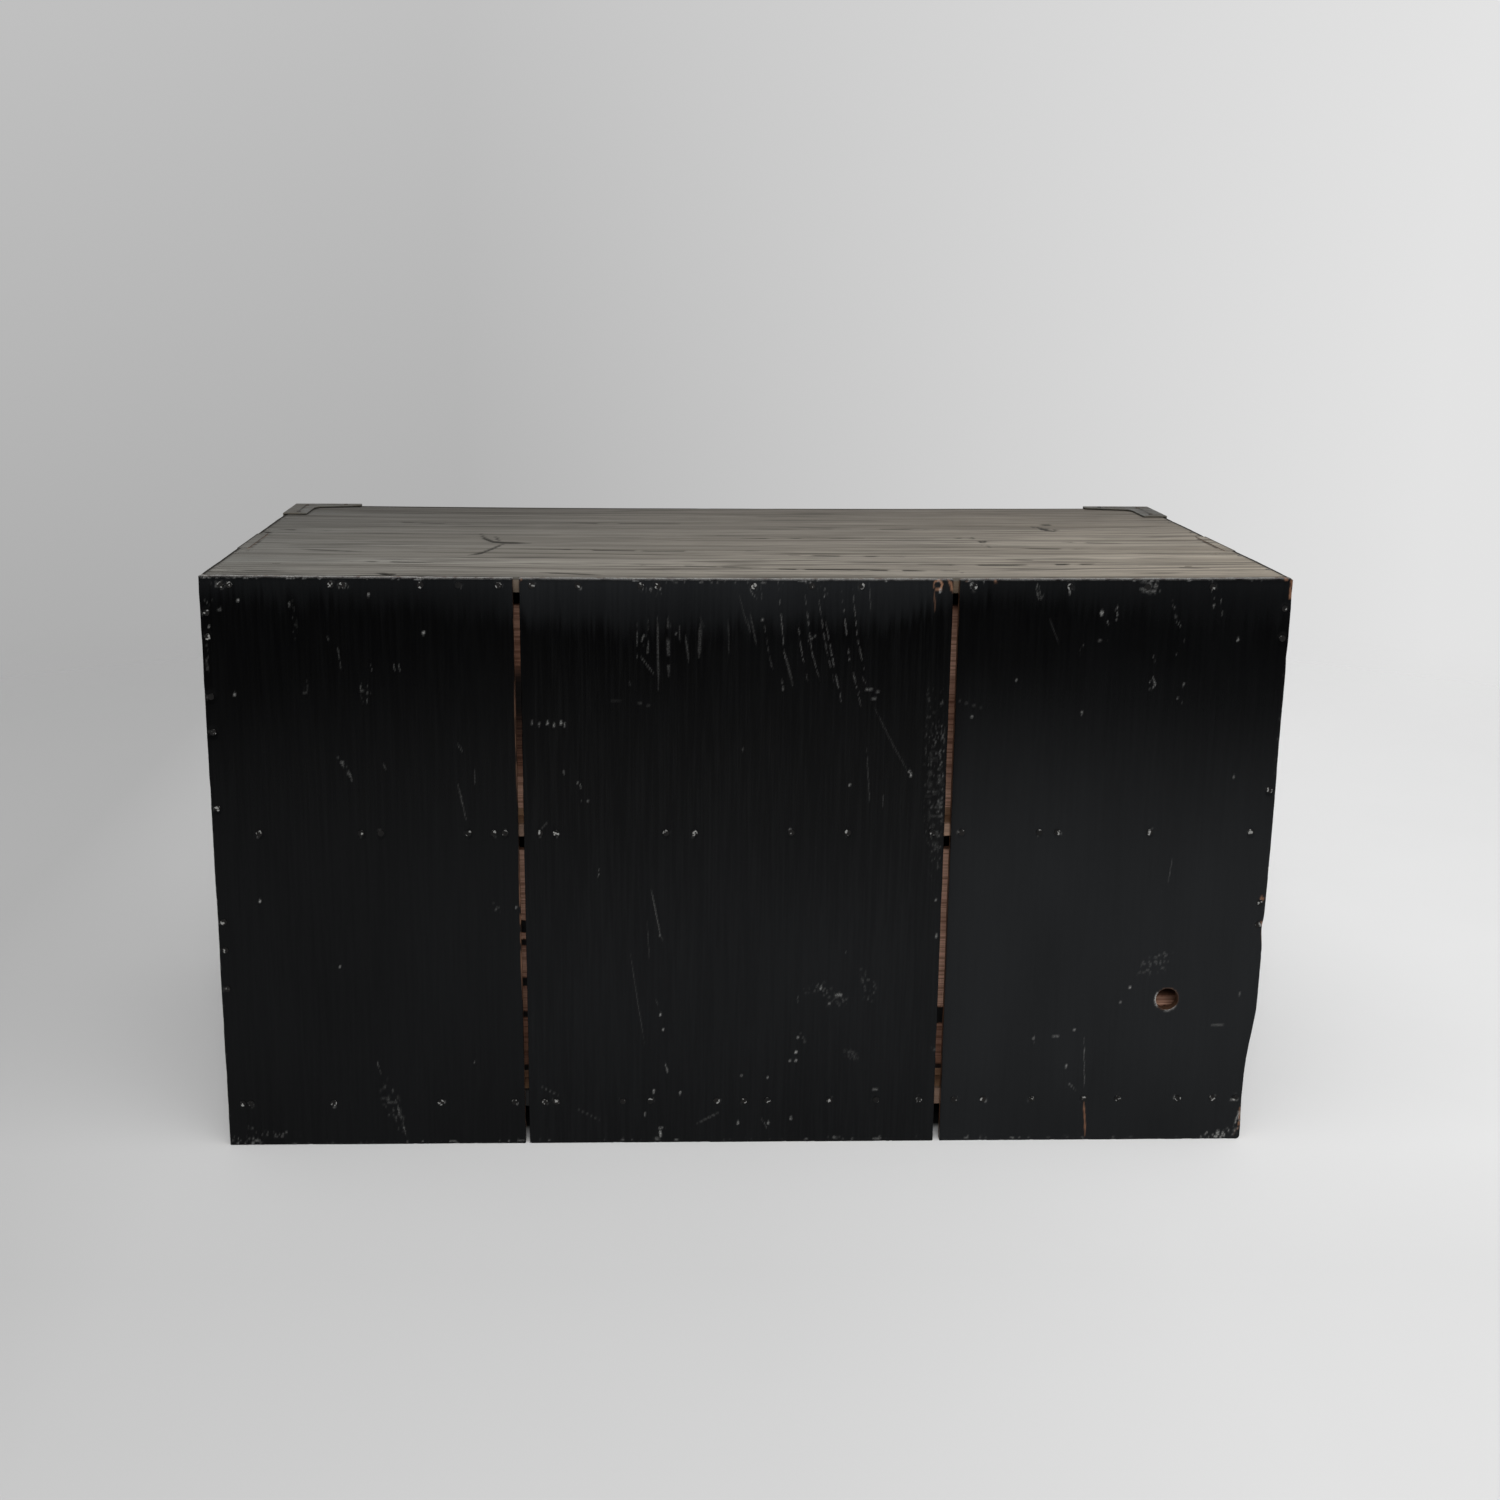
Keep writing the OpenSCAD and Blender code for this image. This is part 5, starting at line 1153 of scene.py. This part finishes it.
# A drawer front: lacquered board with rubbed edges and a keyhole
def front_piece(name, node, body, key_z, pins_z, seed):
    low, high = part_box(node)
    ys = np.array([0, 0.0003, 0.0008, 0.0016, 0.003, 0.006, 0.00899, 0.00901, 0.015, 0.018]) + low.y
    flat, quads = lattice(lines(low.x, high.x, 0.0032, 0.003), ys, lines(low.z, high.z, 0.0018, 0.003))
    chip = step_up(layered_noise(flat, (0.018, 0.05, 0.018), seed), 0.22, 0.55)
    radius = np.clip(0.0008 + 0.0012 * chip, 0.0004, 0.0028)
    points = rounded(flat, low, high, radius)
    x, y, z = points.T
    outer = step_up(-y, -(low.y + 0.003), -(low.y + 0.0006))
    plane = layered_noise(points, (0.2, 1, 0.03), seed + 3)
    place = points.copy()
    # Rear half: cut back where the sides and the bottom lap into the front
    lapped = y > low.y + FRONT_LAP
    place[:, 0] = np.where(lapped, np.clip(x, low.x + 0.010, high.x - 0.010), x)
    place[:, 2] = np.where(lapped, np.maximum(z, low.z + 0.007), z)
    place[:, 1] += 0.00018 * (1 + plane) * outer
    keyhole = np.hypot(x, z - key_z) < KEYHOLE_R
    keyhole |= (np.abs(x) < KEYHOLE_SLOT_HALF_W) & (z < key_z) & (z > key_z - KEYHOLE_SLOT_LENGTH)
    place[:, 1] += np.where(keyhole & (outer > 0.5), KEYHOLE_DEPTH, 0)
    rim = step_up(radius, 0.0012, 0.0020) * (np.abs(points - flat).sum(1) > 0.0002)
    scuff = step_up(layered_noise(place, (0.02, 1, 0.004), seed + 7), 0.36, 0.62)
    # Arcs that the hanging bails rub into the lacquer
    rub = np.zeros(len(place))
    for side in (-1, 1):
        swing = np.hypot(x - side * BAIL_X, (z - pins_z + BAIL_RUB_DROP) * BAIL_RUB_FLATNESS)
        rub = np.maximum(rub, np.exp(-((swing - BAIL_RUB_R) / RUB_W) ** 2) * (z < pins_z))
    worn_rub = rub * step_up(layered_noise(place, (0.014, 1, 0.005), seed + 9, 2), 0.05, 0.7)
    values = {"bare": np.clip(0.85 * rim + 0.22 * worn_rub * outer, 0, 1),
              "pale": np.clip(0.08 * scuff * outer + 0.08 * worn_rub * outer, 0, 1),
              "bloom_and_sheen": 0.35 * outer * (1 + plane), "brushed": np.ones(len(place)),
              "inner": 1 - step_up(-y, -(high.y - 0.001), -(high.y - 0.003))}
    return add_mesh(name, place, quads, body, front_lacquer, values)


# Height of the keyhole and of the bail handles' pins of each drawer, and its noise's seed
DRAWERS = {"upper": (0.436, 0.3865, 800), "lower": (0.235, 0.169, 900)}
for level, (key_z, pins_z, seed) in DRAWERS.items():
    board = front_piece(level + "_front_board", level + "_drawer_front", level + "_drawer",
                        key_z, pins_z, seed)
    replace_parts(board, level + "_drawer_front")


# The case's shelf and bottom board: lacquered where they face the front, bare behind it, and at their rear
# edges painted with the light and shade seen through the gaps: painted light, brighter and bluer, on the
# shelf's left, painted shade on the rest, and a near black painted shadow on the bottom board's right
def edged_wood_paint():
    paint = Paint("edged_wood")
    fine = paint.grain((12, 700, 700), 4.0, 0.65)
    rings = paint.grain((1.6, 42, 42), 4.0, 0.55)
    cloud = paint.noise(paint.place, 9.0, 4.0, 0.6)
    wood = paint.ramp(rings, (0.3, (0.16, 0.085, 0.045)), (0.7, (0.29, 0.165, 0.09)))
    wood = paint.over(wood, (0.06, 0.032, 0.018), fine, (0.3, 0.5), (0.62, 0.0))
    where = paint.axes()
    depth = paint.plus(where["Y"], paint.times(cloud, 0.004))
    rear = paint.above(depth, BACK_IN_Y - 0.003)
    low = paint.below(where["Z"], 0.1)
    right = paint.above(where["X"], 0.1)
    # Painted light and shade on the rear edges: brighter and bluer on the shelf's left, darker elsewhere
    tint = paint.mix(paint.math("MAXIMUM", low, right), (1.20, 1.38, 1.76), (0.68, 0.77, 0.98))
    wood = paint.mix(rear, wood, paint.tinted(wood, tint))
    # Painted shadow: the bottom board's rear edge on the right is near black
    wood = paint.mix(paint.times(rear, paint.times(low, right)), wood, 0.006)
    lacquered = paint.below(depth, FRONT_Y + 0.0035)
    colour = paint.mix(lacquered, wood, (0.0045, 0.0045, 0.0048))
    rough = paint.mix(lacquered, 0.65, 0.4)
    return paint.finish(colour, rough, paint.bump(fine, 0.35, 0.0006), specular=0.35)


edged_wood = edged_wood_paint()

# Finish of every CAD node that no mesh above replaces, by what its name ends with
FINISHES = {edged_wood: ("bottom_board", "middle_shelf"), front_lacquer: ("front_base_rail",),
            back_nail_iron: ("back_nails",), case_peg_wood: ("case_pegs",),
            nail_iron: ("_trim_nails", "_iron_nails"),
            corner_iron: ("_iron_top_left", "_iron_top_right", "_iron_bottom_left", "_iron_bottom_right"),
            rod_iron: ("_bail", "_posts", "_lock_case", "_lock_bolt"),
            plate_iron: ("_post_plates", "_lock_plate", "_drawer_corner_irons"),
            drawer_wood_y: ("_drawer_side_left", "_drawer_side_right"),
            drawer_wood_x: ("_drawer_bottom", "_stops"), peg_wood: ("_drawer_pegs",),
            upper_back_wood: ("upper_drawer_back",), lower_back_wood: ("lower_drawer_back",)}
BEVELS = {edged_wood: 0.0007, front_lacquer: 0.0007, drawer_wood_y: 0.0006, drawer_wood_x: 0.0006,
          upper_back_wood: 0.0006, lower_back_wood: 0.0006, corner_iron: 0.0003, plate_iron: 0.0003,
          rod_iron: 0.0003}
# Arrises sharper than this are bevelled
BEVEL_ANGLE = math.radians(40)


def dress(node, piece):
    finish = next(finish for finish, endings in FINISHES.items() if node.endswith(endings))
    piece.data.materials.clear()
    piece.data.materials.append(finish)
    if finish in BEVELS:
        weld(piece)
        bevel = piece.modifiers.new("worn_edges", "BEVEL")
        bevel.width = BEVELS[finish]
        bevel.segments = 2
        bevel.limit_method = "ANGLE"
        bevel.angle_limit = BEVEL_ANGLE


for node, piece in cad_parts.items():
    if not piece.hide_render:
        dress(node, piece)


# The corner irons' nails have low, flattened heads
def iron_nail_heads():
    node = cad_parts["corner_iron_nails"]
    points = np.array([v.co for v in node.data.vertices], float)
    faces = [tuple(face.vertices) for face in node.data.polygons]
    for axis, sign, face in ((0, 1, HALF_W), (0, -1, HALF_W), (1, -1, -FRONT_Y), (2, 1, TOP_Z)):
        proud = sign * points[:, axis] - (face + IRON_T)
        points[:, axis] -= sign * np.where(proud > 0, (1 - HEAD_SHARE) * proud, 0)
    heads = add_mesh("iron_nail_heads", points, faces, "case", nail_iron)
    weld(heads)
    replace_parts(heads, "corner_iron_nails")


iron_nail_heads()


# Stage: a pale floor that fades into a pale backdrop, a soft sky and one soft light high behind the camera
FLOOR_R = 2.6
FLOOR_FADE_R = 1.4
# The floor under the chest is painted dark up to here, a painted shadow
SHADOW_UNDER_Y = BACK_Y - 0.034


# The floor: painted lighter towards -X, a painted light from that side, a little darker towards +Y, painted
# dark under the chest as a painted shadow, and fading out at its rim
def floor_paint():
    paint = Paint("pale_floor")
    where = paint.axes()
    # Painted light: lighter towards -X, where the light comes from
    across = paint.plus(paint.times(where["X"], -0.62), 0.5, clamp=True)
    tone = paint.ramp(across, (0.0, 0.455), (0.21, 0.60), (0.5, 0.70), (0.7, 0.80), (0.95, 0.84))
    rearward = paint.plus(where["Y"], -0.25, clamp=True)
    tone = paint.tinted(tone, paint.ramp(rearward, (0.0, 1.0), (0.2, 0.92), (0.6, 0.88)))
    # Painted shadow: the floor under the chest is near black
    under = paint.below(paint.math("ABSOLUTE", where["X"]), HALF_W - SIDE_T)
    under = paint.times(under, paint.above(where["Y"], FRONT_Y + 0.02))
    under = paint.times(under, paint.ramp(where["Y"], (SHADOW_UNDER_Y, 1.0), (SHADOW_UNDER_Y + 0.008, 0.0)))
    tone = paint.mix(under, tone, 0.012)
    mottle = paint.noise(paint.place, 1.7, 4.0, 0.6)
    colour = paint.over(tone, 0.5, mottle, (0.35, 0.0), (0.8, 0.08))
    length = paint.add("ShaderNodeVectorMath", operation="LENGTH")
    away = paint.fill(length, {0: paint.place}).outputs["Value"]
    fade = paint.ramp(paint.math("DIVIDE", away, FLOOR_R), (FLOOR_FADE_R / FLOOR_R, 1.0), (0.98, 0.0))
    fade.node.color_ramp.interpolation = "EASE"
    paint.fill(paint.shader, {"Alpha": fade})
    return paint.finish(colour, 0.9, specular=0.05)


def add_floor():
    angles = [2 * math.pi * n / RING_STEPS for n in range(RING_STEPS)]
    rim = [(FLOOR_R * math.cos(a), FLOOR_R * math.sin(a), 0) for a in angles]
    mesh = bpy.data.meshes.new("floor")
    mesh.from_pydata(rim, [], [tuple(range(RING_STEPS))])
    mesh.materials.append(floor_paint())
    floor = bpy.data.objects.new("floor", mesh)
    scene.collection.objects.link(floor)


def add_light():
    data = bpy.data.lights.new("soft_light", "AREA")
    data.shape = "RECTANGLE"
    data.size = 1.7
    data.size_y = 0.9
    data.energy = 88
    light = bpy.data.objects.new("soft_light", data)
    scene.collection.objects.link(light)
    place = Vector((0.2, 4.0, 2.3))
    aim = (Vector((0, 0, 0.25)) - place).to_track_quat("-Z", "Y")
    light.matrix_world = Matrix.Translation(place) @ aim.to_matrix().to_4x4()
    light.visible_camera = False


def add_sky():
    world = bpy.data.worlds.new("soft_sky")
    scene.world = world
    world.use_nodes = True
    tree = world.node_tree
    tree.nodes.clear()
    out = tree.nodes.new("ShaderNodeOutputWorld")
    background = tree.nodes.new("ShaderNodeBackground")
    tree.links.new(background.outputs[0], out.inputs[0])
    split = tree.nodes.new("ShaderNodeSeparateXYZ")
    tree.links.new(tree.nodes.new("ShaderNodeTexCoord").outputs["Generated"], split.inputs[0])
    x, y, z = split.outputs

    def work(operation, a, b=0.0, c=0.0, clamp=False):
        node = tree.nodes.new("ShaderNodeMath")
        node.operation = operation
        node.use_clamp = clamp
        for socket, value in zip(node.inputs, (a, b, c)):
            if isinstance(value, bpy.types.NodeSocket):
                tree.links.new(value, socket)
            else:
                socket.default_value = value
        return node.outputs[0]

    # Backdrop: darker to the right (+X) and, there, towards the floor
    share = work("MULTIPLY_ADD", x, -2.1, 0.19, clamp=True)
    slope = work("MULTIPLY", work("SUBTRACT", 1.0, share), work("MULTIPLY", z, 0.36))
    backdrop = work("ADD", work("MULTIPLY_ADD", share, 0.285, 0.485), slope)
    # Light: the backdrop's own tone low down, dim low down behind the camera, brightest high behind the
    # camera
    behind = work("MULTIPLY_ADD", y, 2.0, 0.4, clamp=True)
    low = work("MULTIPLY", backdrop, work("SUBTRACT", 1.0, behind))
    low = work("ADD", low, work("MULTIPLY", behind, 0.20))
    toward = work("MULTIPLY_ADD", z, 0.80, work("MULTIPLY_ADD", y, 0.58, work("MULTIPLY", x, -0.16)))
    lobe = work("POWER", work("MAXIMUM", toward, 0.0), 5.0)
    sky = work("MULTIPLY_ADD", lobe, 2.3, 0.30)
    high = work("MULTIPLY_ADD", z, 2.2, -0.45, clamp=True)
    light = work("ADD", work("MULTIPLY", low, work("SUBTRACT", 1.0, high)), work("MULTIPLY", sky, high))
    seen = tree.nodes.new("ShaderNodeLightPath").outputs["Is Camera Ray"]
    unseen = work("MULTIPLY", light, work("SUBTRACT", 1.0, seen))
    total = work("ADD", work("MULTIPLY", backdrop, seen), unseen)
    tree.links.new(total, background.inputs["Strength"])
    background.inputs["Color"].default_value = (1, 1, 1, 1)


add_floor()
add_light()
add_sky()
